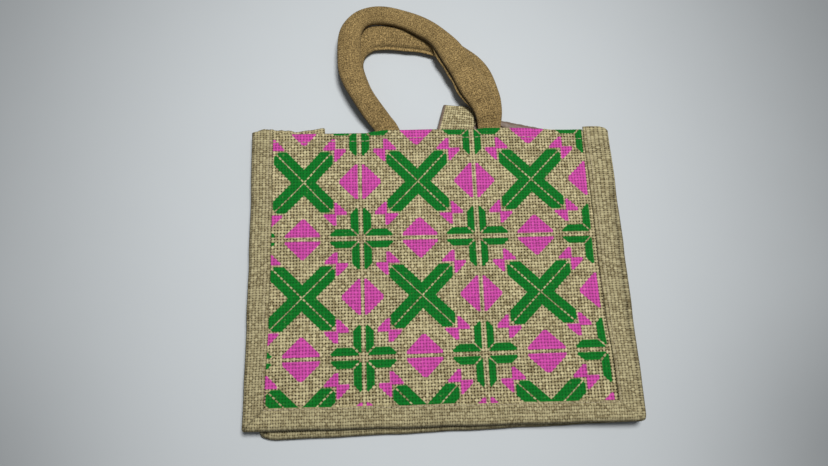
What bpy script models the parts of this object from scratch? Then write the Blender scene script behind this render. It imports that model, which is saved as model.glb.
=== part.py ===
"""Jute gift bag with a printed front, lying collapsed on its back. Metres, +Z up.

The mouth and the handles point to +Y. The origin is on the surface that the bag
lies on, under the middle of the front panel. Every piece of cloth is one sheet,
drawn through the middle of its thickness and then thickened to both sides.
"""

import math

import bpy

MM = 0.001

# Cloth, and how its layers stack up from the surface
CLOTH = 1.2 * MM
CLEARANCE = 0.3 * MM
LAYER = CLOTH + CLEARANCE
FLOOR_LAYER = CLOTH / 2
BACK_BINDING_UNDER = FLOOR_LAYER
BACK_PANEL_EDGE = BACK_BINDING_UNDER + LAYER
GUSSET_LOWER = BACK_PANEL_EDGE + LAYER
BACK_BINDING_OVER = GUSSET_LOWER + LAYER
FRONT_BINDING_UNDER = BACK_BINDING_OVER + LAYER
GUSSET_UPPER = FRONT_BINDING_UNDER + LAYER
FRONT_PANEL = GUSSET_UPPER + LAYER
FRONT_BINDING_OVER = FRONT_PANEL + LAYER

# Outlines seen from above, to the outside of the binding
FRONT_OUTLINE = {
    "top_left": (-125.9 * MM, 102.2 * MM),
    "bottom_left": (-127.5 * MM, -100.3 * MM),
    "bottom_right": (133.0 * MM, -103.9 * MM),
    "top_right": (131.0 * MM, 102.2 * MM),
}
BACK_OUTLINE = {
    "top_left": (-122.5 * MM, 99.3 * MM),
    "bottom_left": (-119.0 * MM, -106.4 * MM),
    "bottom_right": (134.6 * MM, -104.4 * MM),
    "top_right": (131.6 * MM, 101.0 * MM),
}
RIGHT_SIDE_BOW = 2.0 * MM
FRONT_BLUNT = {"bottom_left": 0.9 * MM, "bottom_right": 1.8 * MM}
BACK_BLUNT = {"bottom_left": 2.2 * MM, "bottom_right": 2.2 * MM}

# Seams
PANEL_INSET = 4.4 * MM
SIDES = ("left", "bottom", "right")
BINDING_WIDTH = {"left": 14.4 * MM, "bottom": 13.5 * MM, "right": 16.9 * MM}
BINDING_RETURN = 12.0 * MM
BINDING_NOSE = 2.4 * MM
BINDING_WAVE = 0.35 * MM
BINDING_WAVE_LENGTH = 47 * MM
BINDING_TOP_RISE = {"left": 0.3 * MM, "right": 1.1 * MM}
BINDING_TOP_SLOPE = (0.5 * MM, 8 * MM)
BINDING_TOP_DROP = {"left": 1.3 * MM, "right": 3.2 * MM}

# Hems, folded to the inside of the mouth and clear of the thick side seams
FRONT_HEM = 12 * MM
BACK_HEM = 16 * MM
HEM_FROM_SIDE = 21 * MM
FOLD_RADIUS = LAYER / 2
FOLD_STEPS = 4

# Height of the front's top edge along X, against its corners
FRONT_TOP_EDGE = (
    # x, rise
    (-126 * MM, 0.5 * MM),
    (-112 * MM, 0.0 * MM),
    (-97 * MM, -1.4 * MM),
    (-70 * MM, -1.2 * MM),
    (-48 * MM, -1.1 * MM),
    (-30 * MM, 1.1 * MM),
    (4 * MM, 1.3 * MM),
    (30 * MM, 1.0 * MM),
    (42 * MM, 1.8 * MM),
    (66 * MM, 1.6 * MM),
    (100 * MM, -0.2 * MM),
    (126 * MM, 0.5 * MM),
)

# Where a handle has pulled the back's hem open, so that its fold stands higher
HEM_OPENED = 15.0 * MM
HEM_OPENED_FROM = 6 * MM
HEM_OPENED_PEAK = 43 * MM
HEM_OPENED_TO = 109 * MM

# Gusset, folded in between the panels
GUSSET_FOLD_DEPTH = 50.5 * MM
GUSSET_INNER = GUSSET_LOWER + 2 * LAYER
GUSSET_TOP_RISE = {"left": 3.8 * MM, "right": -1.5 * MM}
GUSSET_STEP = (15.2 * MM, 20 * MM)

# Unevenness of the front
FRONT_WAVE = 0.5 * MM
FRONT_WAVE_LENGTHS = (150 * MM, 118 * MM)
FRONT_SAG = 1.1 * MM
SAG_HALF_SIZE = (88 * MM, 72 * MM)
CORNER_LIFT = 3.0 * MM
CORNER_LIFT_REACH = 75 * MM

# Back panel: it drops from its seams to the surface
BACK_STEP = (15.2 * MM, 22 * MM)

# Mesh
CELL = 12.5 * MM
PATH_CELL = 16 * MM
SEAM_INSETS = (PANEL_INSET, 9 * MM, 15.2 * MM, 18.5 * MM, 22 * MM)
HANDLE_STEP = 6.5 * MM
HANDLE_SIDES = 12

# Handles: padded tubes, flat where their ends are sewn inside the hems
BACK_HANDLE = (
    # x, y, underside, width, thickness, all in millimetres
    (-24.5, 86, 3.1, 16.5, 1.8),
    (-29.0, 103.5, 3.1, 16.5, 1.9),
    (-34.5, 112, 1.4, 16.5, 5.2),
    (-42.0, 123, 0.0, 16.5, 7.6),
    (-49.5, 138, 0.0, 17.0, 8.0),
    (-53.5, 154, 0.0, 17.0, 8.0),
    (-51.5, 168, 0.0, 18.0, 8.0),
    (-43.0, 177.8, 0.0, 20.0, 8.0),
    (-31.0, 180.0, 0.0, 21.0, 8.0),
    (-17.0, 179.6, 0.0, 21.0, 8.0),
    (-4.0, 177.4, 0.0, 20.0, 8.0),
    (8.0, 173.8, 0.0, 18.5, 8.0),
    (19.0, 168.8, 0.0, 17.0, 8.0),
    (28.0, 163.0, 0.0, 17.0, 8.0),
    (35.8, 155.8, 0.0, 17.0, 8.0),
    (42.2, 145.0, 0.0, 17.0, 8.0),
    (45.9, 132.0, 0.6, 17.0, 7.6),
    (46.4, 122.0, 2.4, 17.0, 5.6),
    (46.2, 114.5, 3.3, 17.0, 3.6),
    (45.2, 104, 3.1, 16.5, 1.9),
    (45.2, 86, 3.1, 16.5, 1.8),
)
FRONT_HANDLE = (
    # x, y, underside, width, thickness, all in millimetres
    (-27.0, 86, 5.3, 16.5, 1.8),
    (-31.9, 104.9, 5.4, 16.0, 1.9),
    (-37.6, 112.4, 7.3, 15.5, 4.8),
    (-45.5, 124, 8.5, 15.5, 7.6),
    (-52.0, 135.5, 8.6, 16.0, 8.0),
    (-56.2, 147, 8.6, 16.5, 8.0),
    (-57.6, 159, 8.5, 16.5, 8.0),
    (-57.2, 170, 8.2, 16.5, 8.0),
    (-54.8, 181, 7.4, 16.0, 8.0),
    (-49.0, 190.2, 6.2, 15.0, 8.0),
    (-40.5, 194.8, 5.2, 14.5, 8.0),
    (-30.5, 195.4, 5.0, 14.5, 8.0),
    (-18.5, 192.3, 5.9, 15.0, 8.0),
    (-5.7, 186.2, 7.2, 15.5, 8.0),
    (6.5, 177.8, 8.0, 16.5, 8.0),
    (15.5, 167.6, 8.5, 18.5, 8.0),
    (22.5, 156, 8.5, 20.5, 8.0),
    (28.8, 144.5, 8.5, 21.5, 7.8),
    (34.2, 133.5, 8.5, 21.5, 7.6),
    (39.3, 123.5, 8.4, 20.0, 6.6),
    (42.5, 114.5, 7.9, 17.5, 4.6),
    (43.9, 105.4, 5.4, 16.0, 1.9),
    (44.0, 86, 5.3, 16.0, 1.8),
)
HANDLE_LUMP = 0.03
HANDLE_LUMP_LENGTH = 31 * MM

# Closing tab: a strip folded double along its left edge, sewn inside the back's hem
TAB_FOOT = ((2.9 * MM, 90 * MM), (32.6 * MM, 90 * MM))
TAB_TIP = ((13.1 * MM, 125 * MM), (34.2 * MM, 122.5 * MM))
TAB_DROOP_FROM = 115 * MM
TAB_DROOP_TO = 126 * MM
TAB_TIP_HEIGHT = 1.3 * MM
TAB_ROWS = 8
TAB_COLUMNS = 3

# Colours, as linear values
BURLAP = (0.36, 0.28, 0.16, 1)
PRINTED_BURLAP = (0.30, 0.24, 0.13, 1)
HANDLE_JUTE = (0.27, 0.19, 0.08, 1)


def blend(start, end, share):
    return start + (end - start) * share


def blend_points(start, end, share):
    return tuple(blend(a, b, share) for a, b in zip(start, end))


def smooth_step(value, low, high):
    """0 at low and below, 1 at high and above, with a smooth rise between."""
    share = min(max((value - low) / (high - low), 0), 1)
    return share * share * (3 - 2 * share)


def table_value(table, x):
    """Reads a table of (x, value) rows with smooth steps between its rows."""
    if x <= table[0][0]:
        return table[0][1]
    for (x_low, low), (x_high, high) in zip(table, table[1:]):
        if x <= x_high:
            return blend(low, high, smooth_step(x, x_low, x_high))
    return table[-1][1]


def front_rise(x, y):
    """How far the front and what is sewn to it stand above their flat stack."""
    across = 2 * math.pi * x / FRONT_WAVE_LENGTHS[0]
    along = 2 * math.pi * y / FRONT_WAVE_LENGTHS[1]
    wave = FRONT_WAVE * (1 + math.sin(across + 0.7) * math.cos(along + 0.4))
    wave *= 1 - smooth_step(y, 62 * MM, 96 * MM)
    corner_x, corner_y = FRONT_OUTLINE["bottom_right"]
    distance = math.hypot(x - corner_x, y - corner_y)
    return wave + CORNER_LIFT * (1 - smooth_step(distance, 0, CORNER_LIFT_REACH))


def front_sag(x, y):
    """How far the middle of the front panel sinks between its seams."""
    across = 1 - smooth_step(abs(x), 0, SAG_HALF_SIZE[0])
    along = 1 - smooth_step(abs(y + 10 * MM), 0, SAG_HALF_SIZE[1])
    return FRONT_SAG * across * along


def hem_opened(x):
    """How far the back's hem fold has moved up where the hem is pulled open."""
    rising = smooth_step(x, HEM_OPENED_FROM, HEM_OPENED_PEAK)
    falling = min(max((HEM_OPENED_TO - x) / (HEM_OPENED_TO - HEM_OPENED_PEAK), 0), 1)
    return HEM_OPENED * rising * falling


def material(name, colour, roughness):
    made = bpy.data.materials.new(name)
    made.use_nodes = True
    shader = made.node_tree.nodes["Principled BSDF"]
    shader.inputs["Base Color"].default_value = colour
    shader.inputs["Roughness"].default_value = roughness
    shader.inputs["Metallic"].default_value = 0
    return made


def mesh_object(name, points, faces, finish):
    mesh = bpy.data.meshes.new(name)
    mesh.from_pydata(points, [], faces)
    mesh.update()
    mesh.materials.append(finish)
    made = bpy.data.objects.new(name, mesh)
    bpy.context.scene.collection.objects.link(made)
    return made


def sheet_object(name, rows, finish):
    """Cloth through the given rows of points. A row holds None where it has no cloth."""
    points = []
    index = {}
    for i, row in enumerate(rows):
        for j, point in enumerate(row):
            if point is not None:
                index[i, j] = len(points)
                points.append(point)
    faces = []
    for i in range(len(rows) - 1):
        for j in range(len(rows[i]) - 1):
            corners = ((i, j), (i, j + 1), (i + 1, j + 1), (i + 1, j))
            if all(corner in index for corner in corners):
                faces.append([index[corner] for corner in corners])
    made = mesh_object(name, points, faces, finish)
    made.data.shade_smooth()
    thickness = made.modifiers.new("Cloth thickness", "SOLIDIFY")
    thickness.thickness = CLOTH
    thickness.offset = 0
    thickness.use_even_offset = True
    thickness.use_quality_normals = True
    return made


def insets_across(length):
    """Distances across a panel: close together in the side seams, even between."""
    inner = length - 2 * SEAM_INSETS[-1]
    cells = round(inner / CELL)
    middle = [SEAM_INSETS[-1] + inner * i / cells for i in range(1, cells)]
    return [*SEAM_INSETS, *middle, *(length - inset for inset in reversed(SEAM_INSETS))]


def insets_up(length):
    """Distances up a panel: close together in the bottom seam, even above it."""
    inner = length - SEAM_INSETS[-1]
    cells = round(inner / CELL)
    return [*SEAM_INSETS, *(SEAM_INSETS[-1] + inner * i / cells for i in range(1, cells + 1))]


def panel_rows(outline, hem, top_edge, height, fold_to):
    """Rows of a panel from its bottom seam up, over the hem's fold and down the hem.

    top_edge(x) is the rise of the fold, height(x, y, side, bottom) the middle of the
    cloth, and fold_to is 1 where the hem lies above the panel and -1 where below.
    """
    width = outline["bottom_right"][0] - outline["bottom_left"][0]
    tall = outline["top_left"][1] - outline["bottom_left"][1] - CLOTH / 2 - FOLD_RADIUS
    columns = insets_across(width)

    def place(inset, share):
        low = blend_points(outline["bottom_left"], outline["bottom_right"], inset / width)
        high = blend_points(outline["top_left"], outline["top_right"], inset / width)
        x, y = blend_points(low, high, share)
        return x, y

    rows = []
    ups = insets_up(tall)
    for up in ups:
        row = []
        for inset in columns:
            x, y = place(inset, up / (tall + CLOTH / 2 + FOLD_RADIUS))
            y += top_edge(x) * (up / tall) ** 2
            side = min(inset, width - inset)
            row.append((x, y, height(x, y, side, up)))
        rows.append(row)
    in_hem = [min(inset, width - inset) >= HEM_FROM_SIDE for inset in columns]
    for step in range(1, FOLD_STEPS + 1):
        turn = math.pi * step / FOLD_STEPS
        row = []
        for point, kept in zip(rows[len(ups) - 1], in_hem):
            x, y, z = point
            y += FOLD_RADIUS * math.sin(turn)
            z += fold_to * FOLD_RADIUS * (1 - math.cos(turn))
            row.append((x, y, z) if kept else None)
        rows.append(row)
    for share in (0.5, 1.0):
        row = []
        for point, kept in zip(rows[len(ups) + FOLD_STEPS - 1], in_hem):
            if kept:
                x, y, z = point
                row.append((x, y - hem(x) * share, z))
            else:
                row.append(None)
        rows.append(row)
    return rows


def make_front_panel(finish):
    def height(x, y, side, bottom):
        return FRONT_PANEL + front_rise(x, y) - front_sag(x, y)

    def top_edge(x):
        return table_value(FRONT_TOP_EDGE, x)

    rows = panel_rows(FRONT_OUTLINE, lambda x: FRONT_HEM, top_edge, height, -1)
    return sheet_object("front_panel", rows, finish)


def make_back_panel(finish):
    def height(x, y, side, bottom):
        seam = 1 - smooth_step(min(side, bottom), *BACK_STEP)
        return blend(FLOOR_LAYER, BACK_PANEL_EDGE, seam)

    rows = panel_rows(BACK_OUTLINE, lambda x: BACK_HEM - hem_opened(x), hem_opened, height, 1)
    return sheet_object("back_panel", rows, finish)


def seam_path(outline, blunt):
    """Stations down the left side, along the bottom and up the right side.

    Each is (side, share of the side, how blunt the corner is), and seam_point places it.
    """
    sides = (
        ("left", outline["top_left"], outline["bottom_left"]),
        ("bottom", outline["bottom_left"], outline["bottom_right"]),
        ("right", outline["bottom_right"], outline["top_right"]),
    )
    corners = {"left": 0, "bottom": blunt["bottom_left"], "right": blunt["bottom_right"]}
    stations = []
    for side, start, end in sides:
        cells = round(math.dist(start, end) / PATH_CELL)
        stations.append((side, 0, corners[side]))
        stations += [(side, i / cells, 0) for i in range(1, cells)]
    return [*stations, ("right", 1, 0)]


def seam_point(outline, station, inset, top_rise=None):
    """The place of a station, moved in from the outline with mitred corners.

    inset is one distance, or one for each side by its name.
    """
    side, share, blunt = station
    insets = inset if isinstance(inset, dict) else dict.fromkeys(SIDES, inset)
    left, bottom, right = (insets[name] + blunt for name in SIDES)
    rises = top_rise or {"left": 0, "right": 0}
    top_left = (outline["top_left"][0] + left, outline["top_left"][1] + rises["left"])
    bottom_left = (outline["bottom_left"][0] + left, outline["bottom_left"][1] + bottom)
    bottom_right = (outline["bottom_right"][0] - right, outline["bottom_right"][1] + bottom)
    top_right = (outline["top_right"][0] - right, outline["top_right"][1] + rises["right"])
    ends = {
        "left": (top_left, bottom_left),
        "bottom": (bottom_left, bottom_right),
        "right": (bottom_right, top_right),
    }[side]
    x, y = blend_points(*ends, share)
    bow = RIGHT_SIDE_BOW * math.sin(math.pi * share) if side == "right" else 0
    return x + bow, y


def binding_rows(outline, blunt, over, under, rise):
    """A strip folded round the raw edges of a panel and the gusset."""
    middle = (over + under) / 2
    half = (over - under) / 2
    turn_inset = CLOTH / 2 + BINDING_NOSE
    returned = dict.fromkeys(SIDES, BINDING_RETURN)
    section = [(BINDING_WIDTH, 1, over), (BINDING_WIDTH, 0.5, over)]
    for step in range(2 * FOLD_STEPS - 1):
        turn = math.pi * step / (2 * FOLD_STEPS - 2)
        nose = dict.fromkeys(SIDES, turn_inset - BINDING_NOSE * math.sin(turn))
        section.append((nose, 1, middle + half * math.cos(turn)))
    section += [(returned, 0.5, under), (returned, 1, under)]
    rows = []
    travelled = 0
    last = None
    for station in seam_path(outline, blunt):
        edge = seam_point(outline, station, 0)
        travelled += math.dist(edge, last) if last else 0
        last = edge
        wave = BINDING_WAVE * math.sin(2 * math.pi * travelled / BINDING_WAVE_LENGTH)
        wave *= 0.6 + 0.4 * math.sin(2.3 * math.pi * travelled / BINDING_WAVE_LENGTH)
        row = []
        for widths, share, z in section:
            insets = {side: blend(turn_inset, widths[side], share) + wave for side in SIDES}
            ends = {}
            for side, rise_at_top in BINDING_TOP_RISE.items():
                slope = 1 - smooth_step(insets[side], *BINDING_TOP_SLOPE)
                ends[side] = rise_at_top - BINDING_TOP_DROP[side] * slope
            x, y = seam_point(outline, station, insets, ends)
            row.append((x, y, z + rise(x, y)))
        rows.append(row)
    return rows


def make_front_binding(finish):
    levels = (FRONT_BINDING_OVER, FRONT_BINDING_UNDER)
    rows = binding_rows(FRONT_OUTLINE, FRONT_BLUNT, *levels, front_rise)
    return sheet_object("front_binding", rows, finish)


def make_back_binding(finish):
    levels = (BACK_BINDING_OVER, BACK_BINDING_UNDER)
    rows = binding_rows(BACK_OUTLINE, BACK_BLUNT, *levels, lambda x, y: 0)
    return sheet_object("back_binding", rows, finish)


def make_gusset(finish):
    """One strip down the left, along the bottom and up the right, folded inward."""
    fold_radius = (GUSSET_INNER - GUSSET_LOWER) / 2
    fold_middle = (GUSSET_INNER + GUSSET_LOWER) / 2
    fold_start = GUSSET_FOLD_DEPTH - fold_radius
    upper = (PANEL_INSET, 9 * MM, GUSSET_STEP[0], 17.3 * MM, GUSSET_STEP[1], 34 * MM, fold_start)
    rows = []
    front_path = seam_path(FRONT_OUTLINE, FRONT_BLUNT)
    back_path = seam_path(BACK_OUTLINE, BACK_BLUNT)
    for front_station, back_station in zip(front_path, back_path, strict=True):
        row = []
        for inset in upper:
            x, y = seam_point(FRONT_OUTLINE, front_station, inset)
            drop = smooth_step(inset, *GUSSET_STEP)
            share = inset / GUSSET_FOLD_DEPTH
            y += gusset_rise(front_station, share)
            z = blend(GUSSET_UPPER, GUSSET_INNER, drop)
            row.append((x, y, z + front_rise(x, y) * (1 - smooth_step(share, 0.5, 1))))
        fold = seam_point(FRONT_OUTLINE, front_station, fold_start)
        inner = seam_point(FRONT_OUTLINE, front_station, GUSSET_FOLD_DEPTH)
        for step in range(1, FOLD_STEPS + 1):
            turn = math.pi * step / FOLD_STEPS
            x, y = blend_points(fold, inner, math.sin(turn))
            y += gusset_rise(front_station, 1)
            row.append((x, y, fold_middle + fold_radius * math.cos(turn)))
        seam = seam_point(BACK_OUTLINE, back_station, PANEL_INSET)
        for share in (0.2, 0.45, 0.7, 1.0):
            x, y = blend_points(fold, seam, share)
            y += gusset_rise(front_station, 1 - share)
            row.append((x, y, GUSSET_LOWER))
        rows.append(row)
    return sheet_object("gusset", rows, finish)


def gusset_rise(station, share):
    """How far the gusset's top edge stands above the panels', toward its inner fold."""
    side, along, _ = station
    if side == "bottom":
        return 0
    from_top = along if side == "left" else 1 - along
    return GUSSET_TOP_RISE[side] * share**1.5 * (1 - smooth_step(from_top, 0, 0.5))


def smooth_route(table, step):
    """Rows at about the given spacing on a smooth curve through a table's rows."""
    rows = [tuple(value * MM for value in row) for row in table]
    padded = [rows[0], *rows, rows[-1]]
    made = []
    for before, start, end, after in zip(padded, padded[1:], padded[2:], padded[3:]):
        pieces = max(1, round(math.dist(start[:2], end[:2]) / step))
        for piece in range(pieces):
            t = piece / pieces
            row = []
            for p0, p1, p2, p3 in zip(before, start, end, after):
                slope = (p2 - p0) * t + (2 * p0 - 5 * p1 + 4 * p2 - p3) * t**2
                row.append(p1 + 0.5 * (slope + (3 * p1 - p0 - 3 * p2 + p3) * t**3))
            made.append(tuple(row))
    return [*made, rows[-1]]


def make_handle(name, table, finish):
    """A padded tube: its section is as wide and as thick as the table says."""
    route = smooth_route(table, HANDLE_STEP)
    points = []
    for i, (x, y, underside, width, thickness) in enumerate(route):
        before = route[max(i - 1, 0)]
        after = route[min(i + 1, len(route) - 1)]
        run_x, run_y = after[0] - before[0], after[1] - before[1]
        length = math.hypot(run_x, run_y)
        side_x, side_y = run_y / length, -run_x / length
        travelled = HANDLE_STEP * i
        lump = 1 + HANDLE_LUMP * math.sin(2 * math.pi * travelled / HANDLE_LUMP_LENGTH)
        middle = underside + thickness / 2
        for corner in range(HANDLE_SIDES):
            turn = 2 * math.pi * (corner + 0.5) / HANDLE_SIDES
            across = width * lump / 2 * math.cos(turn)
            up = thickness / 2 * math.sin(turn) / math.sin(math.pi / 2 * (1 - 1 / HANDLE_SIDES))
            points.append((x + side_x * across, y + side_y * across, middle + up))
    faces = []
    for i in range(len(route) - 1):
        for corner in range(HANDLE_SIDES):
            following = (corner + 1) % HANDLE_SIDES
            here, there = i * HANDLE_SIDES, (i + 1) * HANDLE_SIDES
            faces.append((here + corner, there + corner, there + following, here + following))
    first_end = [corner for corner in range(HANDLE_SIDES)]
    last_end = [(len(route) - 1) * HANDLE_SIDES + corner for corner in range(HANDLE_SIDES)]
    faces.append(first_end)
    faces.append(last_end[::-1])
    made = mesh_object(name, points, faces, finish)
    made.data.shade_smooth()
    made.data.set_sharp_from_angle(angle=math.radians(50))
    return made


def make_closing_tab(finish):
    section = [(1 - i / TAB_COLUMNS, 0) for i in range(TAB_COLUMNS + 1)]
    section += [(-FOLD_RADIUS, turn) for turn in (math.pi / 4, math.pi / 2, 3 * math.pi / 4)]
    section += [(i / TAB_COLUMNS, math.pi) for i in range(TAB_COLUMNS + 1)]
    rows = []
    for i in range(TAB_ROWS + 1):
        left = blend_points(TAB_FOOT[0], TAB_TIP[0], i / TAB_ROWS)
        right = blend_points(TAB_FOOT[1], TAB_TIP[1], i / TAB_ROWS)
        row = []
        for share, turn in section:
            bulge = FOLD_RADIUS * math.sin(turn)
            x, y = blend_points(left, right, max(share, 0))
            droop = smooth_step(y, TAB_DROOP_FROM, TAB_DROOP_TO)
            lower = blend(GUSSET_LOWER, TAB_TIP_HEIGHT, droop)
            row.append((x - bulge, y, lower + FOLD_RADIUS * (1 - math.cos(turn))))
        rows.append(row)
    return sheet_object("closing_tab", rows, finish)


def main():
    for old in list(bpy.data.objects):
        bpy.data.objects.remove(old)
    printed = material("printed_burlap", PRINTED_BURLAP, 0.9)
    make_front_panel(printed)
    make_back_panel(material("plain_burlap", BURLAP, 0.92))
    make_gusset(material("gusset_burlap", BURLAP, 0.92))
    make_front_binding(material("front_binding_burlap", BURLAP, 0.92))
    make_back_binding(material("back_binding_burlap", BURLAP, 0.92))
    make_handle("front_handle", FRONT_HANDLE, material("front_handle_jute", HANDLE_JUTE, 0.9))
    make_handle("back_handle", BACK_HANDLE, material("back_handle_jute", HANDLE_JUTE, 0.9))
    make_closing_tab(material("tab_burlap", BURLAP, 0.92))


main()
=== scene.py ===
"""Jute gift bag with a printed front, lying collapsed on its back.

The cloth is laid out in its own flat measures first: across is the distance along the
weft, along is the distance along the warp. Each piece has a function that places a point
of the flat cloth where it lies on the folded bag. The grids of the panels, the bindings
and the tab follow the yarns and the gaps between them, so the weave stands out of the mesh.
"""

import math

import bpy
import numpy as np
from bpy.props import FloatProperty, FloatVectorProperty, PointerProperty
from mathutils import Matrix, Vector


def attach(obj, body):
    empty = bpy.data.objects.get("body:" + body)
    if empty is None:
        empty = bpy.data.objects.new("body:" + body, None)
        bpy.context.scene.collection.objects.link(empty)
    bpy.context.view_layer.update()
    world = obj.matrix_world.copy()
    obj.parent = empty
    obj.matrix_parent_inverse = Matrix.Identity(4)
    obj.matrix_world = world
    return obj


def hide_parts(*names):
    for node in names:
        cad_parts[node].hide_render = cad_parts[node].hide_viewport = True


bl_info = {
    "name": "Jute Gift Bag",
    "version": (1, 0, 0),
    "blender": (4, 5, 0),
    "location": "3D View > Sidebar > Jute Bag",
    "description": "Builds a folded jute gift bag with a printed front",
    "category": "Add Mesh",
}

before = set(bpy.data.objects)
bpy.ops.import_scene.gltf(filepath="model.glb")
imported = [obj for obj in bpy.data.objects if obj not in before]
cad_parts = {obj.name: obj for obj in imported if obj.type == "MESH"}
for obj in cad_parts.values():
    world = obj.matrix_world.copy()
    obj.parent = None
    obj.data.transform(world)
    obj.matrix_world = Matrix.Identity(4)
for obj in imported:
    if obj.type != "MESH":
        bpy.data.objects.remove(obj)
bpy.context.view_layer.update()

MM = 0.001
WELD_REACH = 0.004 * MM

# Colours of the yarns, of the painted shade in the gaps between them and of the laminated side
STRAW_DARK = (0.165, 0.126, 0.057)
STRAW_LIGHT = (0.540, 0.475, 0.275)
STRAW_GAP_SHADE = (0.042, 0.026, 0.008)
LAMINATED_DARK = (0.153, 0.105, 0.076)
LAMINATED_LIGHT = (0.216, 0.157, 0.118)
HANDLE_DARK = (0.080, 0.050, 0.016)
HANDLE_LIGHT = (0.360, 0.250, 0.104)
HANDLE_GAP_SHADE = (0.07, 0.042, 0.014)
HANDLE_FLECK = (0.06, 0.035, 0.012)
THREAD_DARK = (0.42, 0.35, 0.21)
THREAD_LIGHT = (0.62, 0.54, 0.36)

# The weave: shares of a yarn's pitch, and heights in the yarn's own measure
YARN_DRIFT = 0.3
YARN_LUCK, YARN_SWELL = 0.08, 0.28
YARN_LIFT, YARN_ROUND, YARN_EDGE_DROP = 0.42, 0.6, 1.2
FIBRE_SCALES = (1500.0, 460.0)
# Below this yarn height the weave gets its darkest painted shade, which fades out toward the crown
CROWN_SHADE_FROM = -0.15
YARN_BUMP = 0.35 * MM
YARN_SIZES, DRAWN_YARNS = (0.55, 1.25), 2048
DRIFT_SCALE = 170.0

# Cloth, and how its layers stack up from the surface
LAYER_THICKNESS = 1.2 * MM
LAYER = 1.5 * MM
FLOOR_LAYER = 0.68 * MM
BACK_BINDING_UNDER = 0.68 * MM
BACK_PANEL_EDGE = 2.1 * MM
GUSSET_LOWER = 3.6 * MM
BACK_BINDING_OVER = 5.1 * MM
FRONT_BINDING_UNDER = 6.6 * MM
GUSSET_UPPER = 8.1 * MM
FRONT_PANEL = 9.6 * MM
FRONT_BINDING_OVER = 11.1 * MM

# Outlines seen from above, to the outside of the binding
FRONT_OUTLINE = {
    "top_left": (-125.9 * MM, 102.2 * MM),
    "bottom_left": (-127.5 * MM, -100.3 * MM),
    "bottom_right": (133.0 * MM, -103.9 * MM),
    "top_right": (131.0 * MM, 102.2 * MM),
}
BACK_OUTLINE = {
    "top_left": (-122.5 * MM, 99.3 * MM),
    "bottom_left": (-119.0 * MM, -106.4 * MM),
    "bottom_right": (134.6 * MM, -104.4 * MM),
    "top_right": (131.6 * MM, 101.0 * MM),
}
RIGHT_SIDE_BOW = 1.1 * MM
LEFT_SIDE_BOW = 0.8 * MM
CORNER_ROUND = {"front": (1.6 * MM, 4.4 * MM), "back": (13.0 * MM, 4.0 * MM)}
CORNER_CUT = 0.3
CORNER_DEPTH = 9 * MM

# Bindings
SIDES = ("left", "bottom", "right")
BINDING_WIDTH = {"left": 13.7 * MM, "bottom": 14.0 * MM, "right": 17.6 * MM}
BINDING_ROLL = {"left": 3.1 * MM, "bottom": 3.1 * MM, "right": 5.4 * MM}
LEFT_WIDER, LEFT_WIDER_SPAN = 1.1 * MM, (-88 * MM, -20 * MM)
RIGHT_WIDER, RIGHT_WIDER_SPAN = 1.2 * MM, (-66 * MM, -20 * MM)
ROLL_TAPER, ROLL_TAPER_SPAN = 2.6 * MM, (20 * MM, 72 * MM)
BINDING_EDGE_DROP = 0.8 * MM
BINDING_RETURN = 12.0 * MM
BINDING_OVER_COLUMNS = 11
BINDING_ROLL_COLUMNS = 8
BINDING_RETURN_COLUMNS = 8
BINDING_WEFT = 0.76
BINDING_TOP_RISE = {"left": 0.3 * MM, "right": 1.1 * MM}
BINDING_TOP_DROP = {"left": 1.3 * MM, "right": 3.4 * MM}
BINDING_TOP_SLOPE = (0.5 * MM, 9 * MM)
BINDING_WAVE = 0.3 * MM
BINDING_WAVE_LENGTH = 47 * MM
BINDING_SPARE = 4 * MM
SEWN_DOWN = (1, 0.5, 0.1)
LOOSER, LOOSER_BELOW = 0.4, -12 * MM
# Painted shade in the mitres, in the roll's groove and on the rolled outer edge of each side
MITRE_DEPTH, MITRE_WIDTH, MITRE_SHADE = 0.7 * MM, 0.9 * MM, 0.36
ROLL_GROOVE, ROLL_GROOVE_SHADE = 0.35 * MM, 0.20
ROLL_GROOVE_FROM, ROLL_GROOVE_TO = (-75 * MM, -40 * MM), (55 * MM, 75 * MM)
ROLL_SHADE = {"left": 0.60, "bottom": 0.62, "right": 0.20}

# Panels
PANEL_LEFT, PANEL_RIGHT, PANEL_BOTTOM = -121.0 * MM, 126.4 * MM, -96.0 * MM
BACK_LEFT, BACK_RIGHT, BACK_BOTTOM = -117.0 * MM, 127.0 * MM, -101.0 * MM
FOLD_RADIUS = LAYER / 2
FRONT_HEM = 12 * MM
BACK_HEM = 16 * MM
FRONT_CLOTH_END, BACK_CLOTH_END = 117 * MM, 121 * MM
CREASE_SHADE, CREASE_TURN, CREASE_SPREAD = 0.16, 2.2, 0.7
HEM_STARTS_AT, HEM_BARE_PAST = 0.4, 1.2
FRONT_HEM_SPAN = (-110.0 * MM, 112.6 * MM)
BACK_HEM_SPAN = (-101.0 * MM, 109.5 * MM)
FRONT_TOP_EDGE = np.array(
    [
        # x, rise of the front's top edge, in millimetres
        (-126, 0.5),
        (-112, -1.4),
        (-97, -1.5),
        (-70, -1.2),
        (-48, -1.1),
        (-30, 1.1),
        (4, 1.3),
        (30, 1.0),
        (42, 1.8),
        (66, 1.6),
        (100, -0.2),
        (126, 0.5),
    ]
)
HEM_OPENED = 15.0 * MM
HEM_OPENED_FROM, HEM_OPENED_PEAK, HEM_OPENED_TO = 6 * MM, 43 * MM, 109 * MM
HEM_BARE_FROM = 36 * MM

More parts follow.
